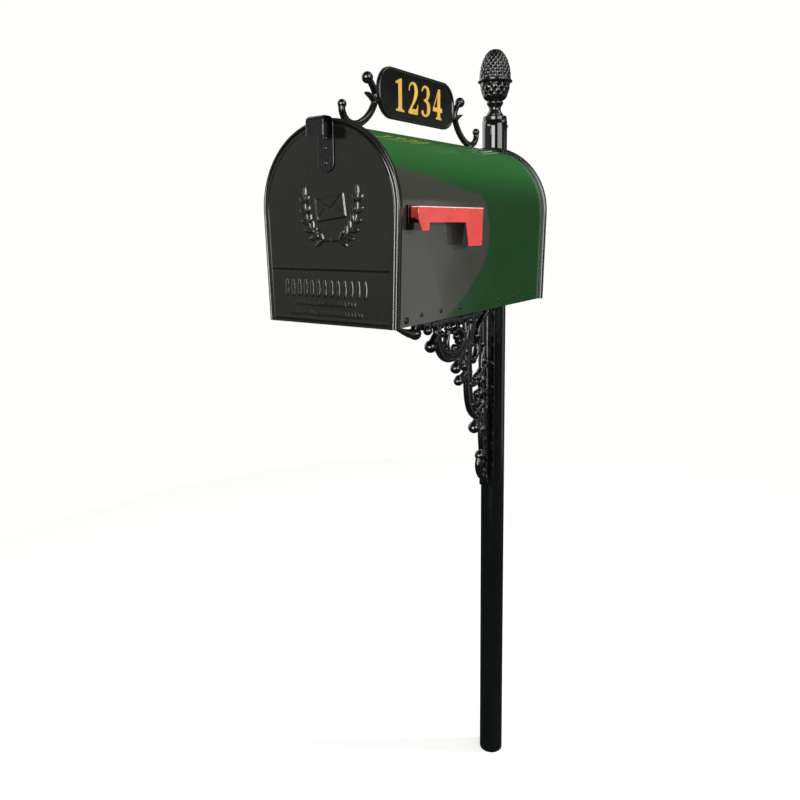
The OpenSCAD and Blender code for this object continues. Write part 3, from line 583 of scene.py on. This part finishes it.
beadMid = shell["start"] + shell["beadW"] / 2
beadArc = arcOf((0, 0), 1.0, 0, 180, 15)
beadProfile = np.concatenate([
    np.stack([shellR - 0.3 * mm + beadArc[:, 1] * (shell["beadH"] + 0.3 * mm), beadMid - beadArc[:, 0]
              * shell["beadW"] / 2], -1),
])
hingeLow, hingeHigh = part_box("hinge_rivets")
beadLow = (hingeLow.z + hingeHigh.z) / 2 - floorZ + 2.5 * mm
finishMesh("shellBead", *sweepArch(beadProfile, beadLow), panelPaint, "post_assembly", "green_shell", 50)


def archPanel(y0, y1, rho, low=0.0, rows=60, columns=40):
    # a flat arched plate: straight rows between the two legs and across the round top
    t = np.concatenate([np.linspace(0, 0.25, rows // 3), np.linspace(0.25, 0.5, rows)[1:]])
    x, z = archPoints(np.full(len(t), rho), t, low)
    u = np.linspace(-1, 1, columns)
    face = np.stack([-x[:, None] * -u[None, :], np.zeros((len(t), columns)),
                     np.broadcast_to(z[:, None], (len(t), columns))], -1)
    front, back = face.copy(), face.copy()
    front[..., 1] = frontY + y0
    back[..., 1] = frontY + y1
    n, m = len(t), columns
    faces = gridFaces(n, m) + gridFaces(n, m, start=n * m)
    edge = [i * m for i in range(n)] + [(n - 1) * m + j for j in range(m)]
    edge += [i * m + m - 1 for i in range(n - 1, -1, -1)] + list(range(m - 1, -1, -1))
    for a, b in zip(edge, edge[1:] + edge[:1]):
        if a != b:
            faces.append([a, b, b + n * m, a + n * m])
    return np.concatenate([front.reshape(-1, 3), back.reshape(-1, 3)]), faces


def rolledRim(y0, y1, inward, bulge):
    # cross-section of a rolled rim: a round bead with a lip that runs in behind it
    halfW = (y1 - y0) / 2
    midY = (y0 + y1) / 2
    crestR = (rimR - inward) / 2
    a = np.radians(np.linspace(-90, 90, 17))
    bead = np.stack([rimR - crestR * 1.0 + crestR * np.cos(a) ** bulge, midY + halfW * np.sin(a)], -1)
    rear = np.stack([np.linspace(rimR - crestR, inward, 5)[1:], np.full(4, y1)], -1)
    front = np.stack([np.linspace(inward, rimR - crestR, 5)[:-1], np.full(4, y0)], -1)
    return np.concatenate([bead, rear, front])


rim = {"depth": 10.0 * mm, "bulge": 0.75}
rearPanelY = boxL - 4.0 * mm
rearRim = sweepArch(rolledRim(boxL - rim["depth"], boxL, shellR + 0.4 * mm, rim["bulge"]))
rearPanel = archPanel(rearPanelY - shell["sheet"], rearPanelY, shellR + 1 * mm)
rearCurl = sweepArch(arcOf((shellR - 6 * mm, rearPanelY + 0.2 * mm), 2.6 * mm, 0, 360, 17)[:-1], 4 * mm)
rearPiece = finishMesh("rearCap", *joined([rearRim, rearPanel, rearCurl]), rearPaint, "post_assembly",
                       "black_panel", 50)
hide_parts("rear_cap")
for pieceName, nodeName in (("floorPan", "floor_pan"), ("mountingTray", "mounting_tray"),
                            ("roofCatch", "roof_catch")):
    bevelled(pieceName, nodeName, paintOf[slotOf[nodeName]], 0.25 * mm, 1)
print("shell made")


# ---- door ----
door = {
    "panelY": 0.6 * mm, "sheet": 1.2 * mm, "creaseH": 91.0, "hemH": 8.0,
    "emblem": (9.0, 189.0), "line": 1.5, "relief": 1.7,
    "rowMiddle": -8.0, "rowHalf": 92.0,
}


def smoothStep(value, low, high):
    s = np.clip((value - low) / (high - low), 0, 1)
    return s * s * (3 - 2 * s)


def segmentDistance(x, z, a, b):
    # distance from each point to the straight piece from a to b
    d = np.subtract(b, a)
    s = np.clip(((x - a[0]) * d[0] + (z - a[1]) * d[1]) / (d @ d), 0, 1)
    return np.hypot(x - a[0] - s * d[0], z - a[1] - s * d[1])


def leafRelief(x, z, centre, tilt, length, width):
    # a pointed oval crowned along its middle, with a fine vein
    c, s = math.cos(tilt), math.sin(tilt)
    u = ((x - centre[0]) * c + (z - centre[1]) * s) / (length / 2)
    v = (-(x - centre[0]) * s + (z - centre[1]) * c) / (width / 2)
    body = 1 - np.abs(v) / np.clip(1 - u * u, 0.02, 1)
    return np.where(np.abs(u) < 1, smoothStep(body, 0.0, 0.55) * (1 - 0.35 * np.exp(-(v / 0.14) ** 2)), 0)


def emblemRelief(x, z):
    # an envelope between two sprays of leaves
    cx, cz = door["emblem"]
    c, s = math.cos(0.12), math.sin(0.12)
    u, v = (x - cx) * c + (z - cz) * s, -(x - cx) * s + (z - cz) * c
    v = v - 8
    w, h, corner = 31.0, 20.0, 3.0
    outside = np.hypot(np.clip(np.abs(u) - w + corner, 0, None),
                       np.clip(np.abs(v) - h + corner, 0, None)) - corner
    depth = np.where(outside > 0, outside, np.maximum(np.abs(u) - w, np.abs(v) - h))
    field = smoothStep(-depth, -0.8, 1.4) * 0.62
    line = door["line"]
    for a, b in (((-w + 2, h - 2), (0, -3)), ((w - 2, h - 2), (0, -3)), ((-w + 2, -h + 2), (-9, 2)),
                 ((w - 2, -h + 2), (9, 2))):
        field = field - 0.5 * np.exp(-(segmentDistance(u, v, a, b) / line) ** 2) * (depth < 0)
    field = field + 0.45 * np.exp(-((depth + 1.6) / line) ** 2)
    for side in (-1, 1):
        stem = cubicPoints([(cx + side * 3, cz - 46), (cx + side * 34, cz - 50),
                            (cx + side * 58, cz - 20), (cx + side * 56, cz + 26)], 14)
        stalk = np.full_like(x, 99.0)
        for a, b in zip(stem[0][:-1], stem[0][1:]):
            stalk = np.minimum(stalk, segmentDistance(x, z, a, b))
        field = np.maximum(field, 0.7 * np.exp(-(stalk / 1.3) ** 2))
        for k in range(2, 14, 2):
            p, d = stem[0][k], stem[1][k]
            heading = math.atan2(d[1], d[0])
            size = 22 - 0.5 * k
            for turn in (-0.75, 0.75):
                centre = p + np.array([math.cos(heading + turn), math.sin(heading + turn)]) * size * 0.48
                field = np.maximum(field, leafRelief(x, z, centre, heading + turn, size, 8.0))
        tipLeaf = stem[0][-1] + stem[1][-1] * 8
        field = np.maximum(field, leafRelief(x, z, tipLeaf, math.atan2(stem[1][-1][1], stem[1][-1][0]),
                                             20, 8.5))
    return field


def rowRelief(x, z, middle, height, pitch, half):
    # a plain row of upright petals, no lettering
    cell = (((x - door["rowMiddle"]) / pitch + 0.5) % 1.0 - 0.5) * pitch
    u = (z - middle) / (height / 2)
    petal = 1 - np.abs(cell) / (pitch * 0.36 * np.sqrt(np.clip(1 - u * u, 0.01, 1)))
    inside = smoothStep(half - np.abs(x - door["rowMiddle"]), -0.5, 0.5)
    return np.where(np.abs(u) < 1, smoothStep(petal, 0.0, 0.6), 0) * inside


def doorRelief(x, z):
    # how far the skin stands out of its plane, in mm
    field = emblemRelief(x, z) * door["relief"]
    field = field + 0.8 * rowRelief(x, z, 62.0, 30.0, 14.2, door["rowHalf"])
    field = field + 0.6 * rowRelief(x, z, 36.5, 10.0, 7.0, 66.0)
    field = field + 0.6 * rowRelief(x, z, 19.5, 10.0, 7.0, 80.5)
    field = field - 1.0 * np.exp(-((z - door["creaseH"]) / 1.6) ** 2)
    field = field + 0.9 * np.exp(-((z - door["creaseH"] - 4.0) / 1.8) ** 2)
    field = field + 0.9 * np.exp(-((z - door["hemH"]) / 2.0) ** 2)
    return field


def spacing(stops):
    # grid stations: each (from, to, step) stretch is divided evenly
    rows = [np.arange(a, b, step) for a, b, step in stops] + [[stops[-1][1]]]
    return np.concatenate(rows)


skinR = shellR + 1.0 * mm - 6 * mm
zLow = spacing([(0, 12, 1.2), (12, 78, 1.15), (78, 86, 2.5), (86, 97, 0.9), (97, 132, 3.0),
                (132, springH / mm, 1.15)]) * mm
arcZ = springH + skinR * np.sin(np.linspace(0, math.pi / 2, 112)[1:])
rowZ = np.concatenate([zLow, arcZ])
theta = np.arcsin(np.clip((rowZ - springH) / skinR, -1, 1))
wallX = (skinR - (springH - rowZ) * math.sin(lean)) / math.cos(lean)
halfX = np.where(rowZ > springH, skinR * np.cos(theta), wallX)
dense = np.concatenate([np.linspace(-1, -0.80, 9)[:-1], np.linspace(-0.80, 0.66, 168)[:-1],
                        np.linspace(0.66, 1, 14)])
gridX = halfX[:, None] * dense[None, :]
gridZ = np.broadcast_to(rowZ[:, None], gridX.shape)
relief = doorRelief(gridX / mm, gridZ / mm) * mm
edgeRoom = np.clip((halfX[:, None] - np.abs(gridX)) / (4 * mm), 0, 1)
skinFront = np.stack([gridX, frontY + door["panelY"] - relief * edgeRoom, gridZ + floorZ], -1)
skinBack = skinFront.copy()
skinBack[..., 1] += door["sheet"]
n, m = gridX.shape
skinFaces = gridFaces(n, m) + gridFaces(n, m, start=n * m)
border = [i * m for i in range(n)] + [(n - 1) * m + j for j in range(1, m)]
border += [i * m + m - 1 for i in range(n - 2, -1, -1)] + list(range(m - 2, 0, -1))
skinFaces += [[a, b, b + n * m, a + n * m] for a, b in zip(border, border[1:] + border[:1])]
skinPoints = np.concatenate([skinFront.reshape(-1, 3), skinBack.reshape(-1, 3)])
skinPiece = finishMesh("doorSkin", skinPoints, skinFaces, panelPaint, "door", "black_panel", 60)
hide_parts("door_panel")

# the door's border in one outline: an inner ridge, a groove and the rolled rim
ridge = arcOf((shellR - 3.6 * mm, 0.9 * mm), 2.7 * mm, -170, -10, 13)
ridge[:, 1] = np.maximum(ridge[:, 1], -0.6 * mm) * 1.0
groove = np.array([[shellR - 0.6 * mm, 1.4 * mm], [shellR + 0.5 * mm, 1.8 * mm],
                   [shellR + 1.0 * mm, 1.4 * mm]])
beadR = (rimR - shellR - 1.0 * mm) / 2
bead = arcOf((0, 0), 1.0, 180, 360, 19)
bead = np.stack([shellR + 1.0 * mm + beadR + bead[:, 0] * beadR, 4.6 * mm + bead[:, 1] * 4.6 * mm], -1)
backSide = np.array([[rimR, rim["depth"] - 0.8 * mm], [rimR - 0.8 * mm, rim["depth"]],
                     [shellR + 1.4 * mm, rim["depth"]],
                     [shellR + 0.7 * mm, rim["depth"] - 0.6 * mm], [shellR + 0.7 * mm, 3.2 * mm],
                     [shellR - 6.3 * mm, 3.0 * mm]])
finishMesh("doorRim", *sweepArch(np.concatenate([ridge, groove, bead, backSide])), panelPaint, "door",
           "black_panel", 50)


# ears that carry the door on its hinge pins
def ear(x0, x1, radius, pinY, pinZ):
    # outline: square at the door, round about the pin
    a = np.radians(np.linspace(-90, 90, 19))
    outline = np.concatenate([
        [[frontY + 1.2 * mm, pinZ - radius], [frontY + 1.2 * mm, pinZ + radius]],
        np.stack([pinY + radius * np.cos(a[::-1]), pinZ + radius * np.sin(a[::-1])], -1),
    ])
    rings = [np.stack([np.full(len(outline), x), outline[:, 0], outline[:, 1]], -1) for x in (x0, x1)]
    return tube(np.stack(rings))


pinY, pinZ = (hingeLow.y + hingeHigh.y) / 2, (hingeLow.z + hingeHigh.z) / 2
earOut = (springH - (pinZ - floorZ)) * math.tan(lean)
earX = shellR - shell["sheet"] - earOut - 1.2 * mm
ears = [ear(s * (earX - 1.6 * mm), s * earX, 8.5 * mm, pinY, pinZ) for s in (-1, 1)]
finishMesh("doorEars", *joined(ears), panelPaint, "door", "black_panel", 40)

# the pull: a strap up the door, bent forward and down into a hook
pull = {"thick": 1.8 * mm, "bend": 9.0 * mm, "lip": 32.0 * mm, "ribs": 0.5 * mm}
pullLow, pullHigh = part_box("door_pull")
pullX = (pullLow.x + pullHigh.x) / 2
lipHalf = (pullHigh.x - pullLow.x) / 2
strapHalf = lipHalf - 2 * mm
half = pull["thick"] / 2
midR = pull["bend"] - half
yBack, yTip = pullHigh.y - half, pullLow.y + half
zTop = pullHigh.z - half
path = np.concatenate([
    np.stack([np.full(46, yBack), np.linspace(pullLow.z, zTop - midR, 46)], -1),
    arcOf((yBack - midR, zTop - midR), midR, 0, 90, 12)[1:],
    arcOf((yTip + midR, zTop - midR), midR, 90, 180, 12),
    np.stack([np.full(14, yTip), np.linspace(zTop - midR, pullHigh.z - pull["lip"], 14)], -1)[1:],
])
slope = np.gradient(path, axis=0)
slope /= np.linalg.norm(slope, axis=1, keepdims=True)
outwards = np.stack([-slope[:, 1], slope[:, 0]], -1)
travel = np.concatenate([[0], np.cumsum(np.linalg.norm(np.diff(path, axis=0), axis=1))])
roundEnd = np.sqrt(np.clip(1 - (1 - np.clip(travel / strapHalf, 0, 1)) ** 2, 0, 1))
widen = smoothStep(travel, travel[-1] - 0.055, travel[-1] - 0.030)
halfWidth = roundEnd * (strapHalf + widen * (lipHalf - strapHalf))
halfWidth[0] = 0.4 * mm
a = np.linspace(0, 2 * math.pi, 64, endpoint=False)
acrossX = np.sign(np.cos(a)) * np.abs(np.cos(a)) ** 0.35
thickN = np.sign(np.sin(a)) * np.abs(np.sin(a)) ** 0.55
onLip = smoothStep(travel, travel[-1] - 0.022, travel[-1] - 0.016)[:, None]
ribbed = np.cos(acrossX * math.pi * 7)[None, :] * onLip
offset = thickN[None, :] * (half - pull["ribs"] * (1 - ribbed) * 0.5 * onLip)
pullGrid = np.stack([
    pullX + halfWidth[:, None] * acrossX[None, :],
    path[:, None, 0] + outwards[:, None, 0] * offset,
    path[:, None, 1] + outwards[:, None, 1] * offset,
], -1)
pullPiece = finishMesh("doorPull", *tube(pullGrid), castPaint, "door", "black_panel", 45)
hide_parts("door_pull")
bevelled("catchTab", "catch_tab", zinc, 0.2 * mm, 1)
print("door made")


# ---- rivets and screws ----
def domedRivet(low, high, axis, outer, headR, headT, shankR):
    # a shank with a domed head at its outer end; outer is +1 or -1 along the axis
    k = {"x": 0, "y": 1, "z": 2}[axis]
    a = np.radians(np.linspace(0, 90, 9))
    length = high[k] - low[k]
    profile = np.concatenate([
        [[0, 0], [shankR, 0], [shankR, length - headT], [headR, length - headT],
         [headR, length - headT * 0.86]],
        np.stack([headR * np.cos(a), length - headT * 0.86 + headT * 0.86 * np.sin(a)], -1)[1:],
    ])
    profile[-1, 0] = 0
    if outer < 0:
        profile[:, 1] = -profile[:, 1]
    centre = (np.asarray(low) + np.asarray(high)) / 2
    centre[k] = low[k] if outer > 0 else high[k]
    return revolve(profile, 24, axis, centre)


rivets = {"side_screws": ("x", None), "floor_rivets": ("x", None), "hinge_rivets": ("x", None),
          "pull_rivets": ("y", -1), "catch_rivets": ("z", 1)}
headDepth = {"side_screws": 1.8, "floor_rivets": 1.8, "hinge_rivets": 2.0, "pull_rivets": 1.5,
             "catch_rivets": 1.2}
shankOf = {"side_screws": 2.0, "floor_rivets": 2.0, "hinge_rivets": 3.0, "pull_rivets": 2.0,
           "catch_rivets": 1.6}
for nodeName, (axis, outer) in rivets.items():
    made = []
    for low, high in partBoxes(nodeName):
        k = {"x": 1, "y": 0, "z": 0}[axis]
        way = outer or (1 if low[0] + high[0] > 0 else -1)
        made.append(domedRivet(low, high, axis, way, (high[k] - low[k]) / 2, headDepth[nodeName] * mm,
                               shankOf[nodeName] * mm))
    body = cadNodes[nodeName]["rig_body"]
    words = nodeName.split("_")
    piece = finishMesh(words[0] + words[1].title(), *joined(made), hardwarePaint, body, slotOf[nodeName],
                       50)
    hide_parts(nodeName)
for pieceName, nodeName in (("strapBolts", "strap_bolts"), ("strapNuts", "strap_nuts"),
                            ("castingScrews", "casting_screws"),
                            ("trayBolts", "tray_bolts"), ("trayNuts", "tray_nuts"),
                            ("flagMountRivets", "flag_mount_rivets"),
                            ("flagPin", "flag_pivot_pin"), ("flagWasher", "flag_washer"),
                            ("platePins", "plate_pins"),
                            ("scrollScrews", "scroll_screws"), ("scrollWashers", "scroll_washers")):
    bevelled(pieceName, nodeName, paintOf[slotOf[nodeName]], 0.3 * mm, 2)
print("fasteners made")


# ---- flag ----
bevelled("flag", "flag", flagPaint, 0.7 * mm, 3)
bevelled("flagMount", "flag_mount", hardwarePaint, 0.6 * mm, 2)
print("flag made")


# ---- sign ----
sign = {"corner": 42.0 * mm, "rim": 7.0 * mm, "steps": 40, "faceDrop": 2.5 * mm}
plateMid = (plateLow + plateHigh) / 2
plateHalfL = (plateHigh.y - plateLow.y) / 2
plateHalfH = (plateHigh.z - plateLow.z) / 2
plateHalfT = plateHigh.x


def platePath(inset):
    # a rounded rectangle in the y-z plane, smaller by inset all round
    c = min(sign["corner"] - inset, plateHalfH - inset - 0.5 * mm)
    w, h = plateHalfL - inset, plateHalfH - inset
    corners = [((w - c, h - c), 0), ((c - w, h - c), 90), ((c - w, c - h), 180), ((w - c, c - h), 270)]
    return np.concatenate([arcOf(p, c, start, start + 90, sign["steps"] // 2) for p, start in corners])


def plateRing(inset, x):
    path = platePath(inset)
    return np.stack([np.full(len(path), x), plateMid.y + path[:, 0], plateMid.z + path[:, 1]], -1)


ringSteps = np.linspace(0, 2 * math.pi, 28, endpoint=False)
rimRings = np.stack([
    plateRing(sign["rim"] / 2 - sign["rim"] / 2 * np.sign(math.cos(s)) * abs(math.cos(s)) ** 0.8,
              plateHalfT * np.sign(math.sin(s)) * abs(math.sin(s)) ** 0.7) for s in ringSteps])
rimPart = (rimRings.reshape(-1, 3), gridFaces(len(rimRings), rimRings.shape[1], wrapN=True, wrapM=True))
faceX = plateHalfT - sign["faceDrop"]
facePart = tube(np.stack([plateRing(sign["rim"] * 0.6, -faceX), plateRing(sign["rim"] * 0.6, faceX)]))
platePiece = finishMesh("numberPlate", *joined([rimPart, facePart]), castPaint, "post_assembly",
                        "black_casting", 40)
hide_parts("number_plate")
bevelled("numerals", "numerals", goldPaint, 0.3 * mm, 2)

# scrollwork beside the plate, in mm from the plate's end and above the roof
signStrokes = [
    ([(-104, 38), (-106, 20), (-94, 7), (-74, 7)], 11, 13),
    ([(-74, 7), (-46, 7), (-16, 33), (-8, 56)], 13, 12),
    ([(-8, 56), (-4, 70), (-16, 82), (-28, 90)], 12, 10),
    ([(-10, 54), (-16, 58), (-24, 62), (-33, 65)], 12, 4),
]
signBalls = [(-103, 37, 8), (-30, 91, 10.5)]
for pieceName, nodeName, endY, way in (("scrollFront", "scroll_front", plateLow.y, 1),
                                       ("scrollRear", "scroll_rear", plateHigh.y, -1)):
    place = (0, endY, roofZ)
    parts = [castStroke(c, w0, w1, 12, place, way) for c, w0, w1 in signStrokes]
    parts += [castBall(y, z, r, place, way) for y, z, r in signBalls]
    footY = -(205 - plateHalfL / mm)
    foot = revolve(np.array([[0, 0.1], [8.4, 0.1], [9, 0.8], [9, 2.6], [7.4, 4.0], [6, 8], [0, 8]]) * mm,
                   40, "z",
                   (0, endY + way * footY * mm, roofZ))
    piece = finishMesh(pieceName, *joined(parts + [foot]), castPaint, "post_assembly", "black_casting")
    fuse(piece, 0.9 * mm, 3)
    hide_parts(nodeName)
print("sign made")


# ---- bracket ----
bracket = {"thick": 16.0, "voxel": 1.25 * mm, "spine": 9.0, "spineEnd": -446.0, "railGap": 16.1}
bracketStrokes = [
    ([(-66, -20), (-70, -52), (-100, -95), (-96, -150)], 24, 26),
    ([(-96, -150), (-93, -185), (-98, -220), (-82, -250)], 26, 26),
    ([(-82, -250), (-68, -272), (-48, -282), (-28, -284)], 26, 16),
    ([(-222, -24), (-240, -72), (-224, -116), (-172, -118)], 18, 24),
    ([(-172, -118), (-128, -118), (-100, -92), (-104, -44)], 24, 16),
    ([(-104, -44), (-106, -26), (-128, -26), (-136, -36)], 13, 9),
    ([(-172, -118), (-192, -106), (-196, -84), (-186, -66)], 12, 8),
    ([(-228, -62), (-240, -66), (-246, -76), (-252, -84)], 12, 15),
    ([(-262, -26), (-268, -34), (-268, -40), (-266, -48)], 20, 15),
    ([(-306, -28), (-312, -34), (-316, -40), (-314, -46)], 20, 16),
    ([(-314, -50), (-338, -48), (-356, -40), (-376, -33)], 20, 5),
    ([(-102, -104), (-120, -118), (-138, -134), (-148, -146)], 18, 18),
    ([(-100, -166), (-112, -176), (-126, -180), (-136, -178)], 16, 20),
    ([(-86, -140), (-60, -150), (-44, -120), (-52, -92)], 10, 13),
    ([(-52, -92), (-50, -60), (-28, -50), (-12, -40)], 13, 9),
    ([(-88, -196), (-66, -206), (-52, -196), (-48, -186)], 10, 14),
    ([(-48, -186), (-30, -168), (-16, -170), (-8, -160)], 11, 9),
    ([(-80, -246), (-56, -252), (-46, -240), (-52, -226)], 9, 11),
    ([(-52, -232), (-34, -224), (-20, -230), (-8, -220)], 9, 8),
    ([(-64, -270), (-44, -256), (-30, -262), (-26, -250)], 9, 10),
    ([(-28, -284), (-40, -284), (-54, -292), (-62, -301)], 14, 16),
    ([(-20, -276), (-26, -310), (-24, -340), (-18, -372)], 24, 26),
    ([(-18, -372), (-44, -386), (-46, -412), (-26, -432)], 22, 18),
    ([(-26, -432), (-20, -440), (-14, -444), (-8, -446)], 16, 8),
]
bracketBalls = [
    (-314, -50, 13), (-266, -50, 10), (-255, -85, 13.5), (-136, -37, 8), (-185, -64, 8), (-150, -149, 12.5),
    (-138, -180, 11), (-53, -88, 11), (-50, -187, 11), (-53, -226, 8.5), (-26, -250, 8), (-64, -305, 14),
    (-36, -380, 11.5),
]
# leaves and knobs that fill the scrolls
leafStrokes = [
    ([(-160, -66), (-150, -56), (-128, -60), (-118, -80)], 12, 14),
    ([(-118, -80), (-114, -94), (-128, -102), (-138, -90)], 14, 10),
    ([(-290, -32), (-240, -46), (-180, -30), (-130, -42)], 18, 20),
    ([(-130, -42), (-100, -32), (-70, -44), (-40, -32)], 18, 14),
    ([(-116, -140), (-112, -160), (-98, -170), (-84, -168)], 14, 10),
    ([(-20, -120), (-34, -140), (-22, -170), (-34, -200)], 12, 14),
    ([(-34, -206), (-20, -230), (-34, -250), (-16, -270)], 12, 10),
]
leafKnobs = [
    (-214, -64, 9), (-209, -88, 8), (-198, -105, 8), (-156, -102, 9), (-146, -78, 9), (-182, -54, 10),
    (-138, -89, 9),
    (-116, -150, 10), (-95, -168, 9), (-70, -143, 9), (-29, -111, 9), (-24, -151, 10), (-58, -187, 8),
    (-28, -195, 11),
    (-38, -226, 10), (-23, -257, 10), (-27, -316, 11), (-20, -345, 9), (-27, -400, 8), (-20, -424, 9),
    (-46, -306, 9),
]


def ruffles(c, width0, width1, place):
    # rounded lobes down both edges of a broad stroke, like a cast leaf
    p, d = cubicPoints(c, 60)
    length = np.linalg.norm(c[3] - np.asarray(c[0]))
    count = max(2, int(length / (0.62 * (width0 + width1) / 2)))
    lobes = []
    for k in range(count):
        i = int((k + 0.5) / count * 59)
        w = width0 + (width1 - width0) * i / 59
        reach = (0.44 if k % 2 else -0.44) * w
        y, z = p[i, 0] - d[i, 1] * reach, p[i, 1] + d[i, 0] * reach
        lobes.append(castBall(y, z, 0.36 * w, place))
    return lobes


place = (0, strapLow.y, floorZ)
w = bracket["spine"]
spineX = -w / 2 - 0.3
top = -bracket["railGap"] - w / 2 - 0.2
bars = [
    ([(spineX, -22), (spineX, -160), (spineX, -300), (spineX, bracket["spineEnd"] + 5)], w, w),
    ([(-326, top), (-220, top), (-110, top), (-6, top)], w, w),
]
parts = [castStroke(c, 1.15 * w0, 1.15 * w1, bracket["thick"], place, rib=0.45 if w1 > 15 else 0)
         for c, w0, w1 in bracketStrokes]
parts += [castStroke(c, w0, w1, bracket["thick"], place, n=60) for c, w0, w1 in bars]
parts += [castStroke(c, w0, w1, 14.0, place, n=18) for c, w0, w1 in leafStrokes]
parts += [castBall(y, z, r, place) for y, z, r in bracketBalls + leafKnobs]
for c, w0, w1 in bracketStrokes[:1] + leafStrokes[2:5]:
    parts += ruffles(c, w0, w1, place)
bracketPiece = finishMesh("scrollBracket", *joined(parts), castPaint, "post_assembly", "black_casting")
fuse(bracketPiece, bracket["voxel"], 3)
ceiling = floorZ - bracket["railGap"] * mm
wall = strapLow.y - 0.1 * mm
co = np.zeros(len(bracketPiece.data.vertices) * 3)
bracketPiece.data.vertices.foreach_get("co", co)
co = co.reshape(-1, 3)
co[:, 2] = np.minimum(co[:, 2], ceiling)
co[:, 1] = np.minimum(co[:, 1], wall)
bracketPiece.data.vertices.foreach_set("co", co.reshape(-1))
bracketPiece.data.update()
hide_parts("scroll_bracket")
bevelled("backStrap", "back_strap", postPaint, 0.8 * mm, 2)
bevelled("supportRail", "support_rail", postPaint, 1.2 * mm, 3)
print("bracket made")


# ---- stage, light and camera ----
def stageMaterial():
    # a pale matt floor, bright enough to merge with the backdrop
    material, tree, shader, place = startMaterial("stagePaint")
    feed(tree, shader, Base_Color=rgb(0.62, 0.62, 0.61), Roughness=0.9, Emission_Color=rgb(1, 1, 0.99),
         Emission_Strength=0.58)
    shader.inputs["Specular IOR Level"].default_value = 0.1
    return material


floorR = 2.4
floorPoints, floorFaces = revolve(np.array([[0.0, -0.0005], [floorR, -0.0005]]), 96)
floorMesh = bpy.data.meshes.new("stageFloor")
floorMesh.from_pydata(floorPoints.tolist(), [], [[f[0], f[1], f[2], f[3]] for f in floorFaces])
floorPiece = bpy.data.objects.new("stageFloor", floorMesh)
bpy.context.scene.collection.objects.link(floorPiece)
floorMesh.materials.append(stageMaterial())
floorPiece.visible_glossy = False


def softBox(name, place, target, width, height, power, colour=(1, 1, 1), glossy=True):
    light = bpy.data.lights.new(name, "AREA")
    light.shape = "RECTANGLE"
    light.size = width
    light.size_y = height
    light.energy = power
    light.color = colour
    lamp = bpy.data.objects.new(name, light)
    lamp.location = place
    lamp.rotation_euler = (Vector(target) - Vector(place)).to_track_quat("-Z", "Y").to_euler()
    lamp.visible_glossy = glossy
    bpy.context.scene.collection.objects.link(lamp)
    return lamp


studio = {"door": 0.42, "front": 15.0, "left": 2.5, "right": 7.0, "wall": 0.66, "above": 4.0,
          "dim": 0.04, "ambient": 0.36}
boxMid = (0, (frontY + rearY) / 2, floorZ + 0.17)
softBox("keyTop", (0.4, -0.7, 3.4), boxMid, 2.2, 2.2, 48, glossy=False)
softBox("sideRight", (2.4, 1.5, 1.9), boxMid, 0.3, 0.3, 62, glossy=False)
softBox("frontLeft", (-1.7, -2.4, 1.9), boxMid, 1.2, 1.2, 14, glossy=False)

world = bpy.data.worlds.new("studio")
bpy.context.scene.world = world
world.use_nodes = True
sky = world.node_tree
sky.nodes.clear()
way = addNode(sky, "TexCoord", output=0)
dirX, dirY, dirZ = [addNode(sky, "SeparateXYZ", {}, {0: way}, output=i) for i in range(3)]
turn = addNode(sky, "Math", {"operation": "ARCTAN2"}, {0: dirX, 1: 0.0 - dirY}) * (180 / math.pi)
rise = addNode(sky, "Math", {"operation": "ARCSINE"}, {0: dirZ}) * (180 / math.pi)


def window(turns, rises, soft, level):
    # a soft-edged panel of light: degrees round from the front, and degrees up
    across = turn.ramp(turns[0] - soft, turns[0] + soft)
    across = across * turn.ramp(turns[1] - soft, turns[1] + soft, 1.0, 0.0)
    upward = rise.ramp(rises[0] - soft, rises[0] + soft)
    upward = upward * rise.ramp(rises[1] - soft, rises[1] + soft, 1.0, 0.0)
    return across * upward * level


panels = window((-60, -14), (-10, 34), 9, studio["door"])
panels = panels + window((-8, 27), (-11, 24), 2, studio["front"])
panels = panels + window((-125, -72), (-10, 45), 4, studio["left"])
panels = panels + window((54, 98), (-1.5, 34), 2, studio["right"])
panels = panels + window((122, 150), (-18, 7), 1.5, studio["wall"])
panels = panels + window((110, 150), (32, 55), 4, studio["above"])
mirrored = panels + studio["dim"]
isGlossy = addNode(sky, "LightPath", output=3)
isCamera = addNode(sky, "LightPath", output=0)
level = mirrored * isGlossy + (1 - isGlossy) * studio["ambient"]
level = level * (1 - isCamera) + isCamera
ground = addNode(sky, "Background", {}, {0: rgb(1.0, 1.0, 0.985), 1: level})
output = sky.nodes.new("ShaderNodeOutputWorld")
sky.links.new(ground.socket, output.inputs["Surface"])

camera = bpy.data.cameras.new("camera")
camera.sensor_width = 36
camera.lens = 32.29
camera.shift_y = -0.0886
camera.clip_end = 60
eye = bpy.data.objects.new("camera", camera)
eye.location = (0.778, -1.546, 1.354)
aim = Euler((math.pi / 2 - 0.142, 0, 0.597)).to_matrix()
roll = Euler((0, 0, -0.012)).to_matrix()
eye.rotation_euler = (aim @ roll).to_euler()
bpy.context.scene.collection.objects.link(eye)
bpy.context.scene.camera = eye
bpy.context.scene.view_settings.view_transform = "Standard"
print("stage set")
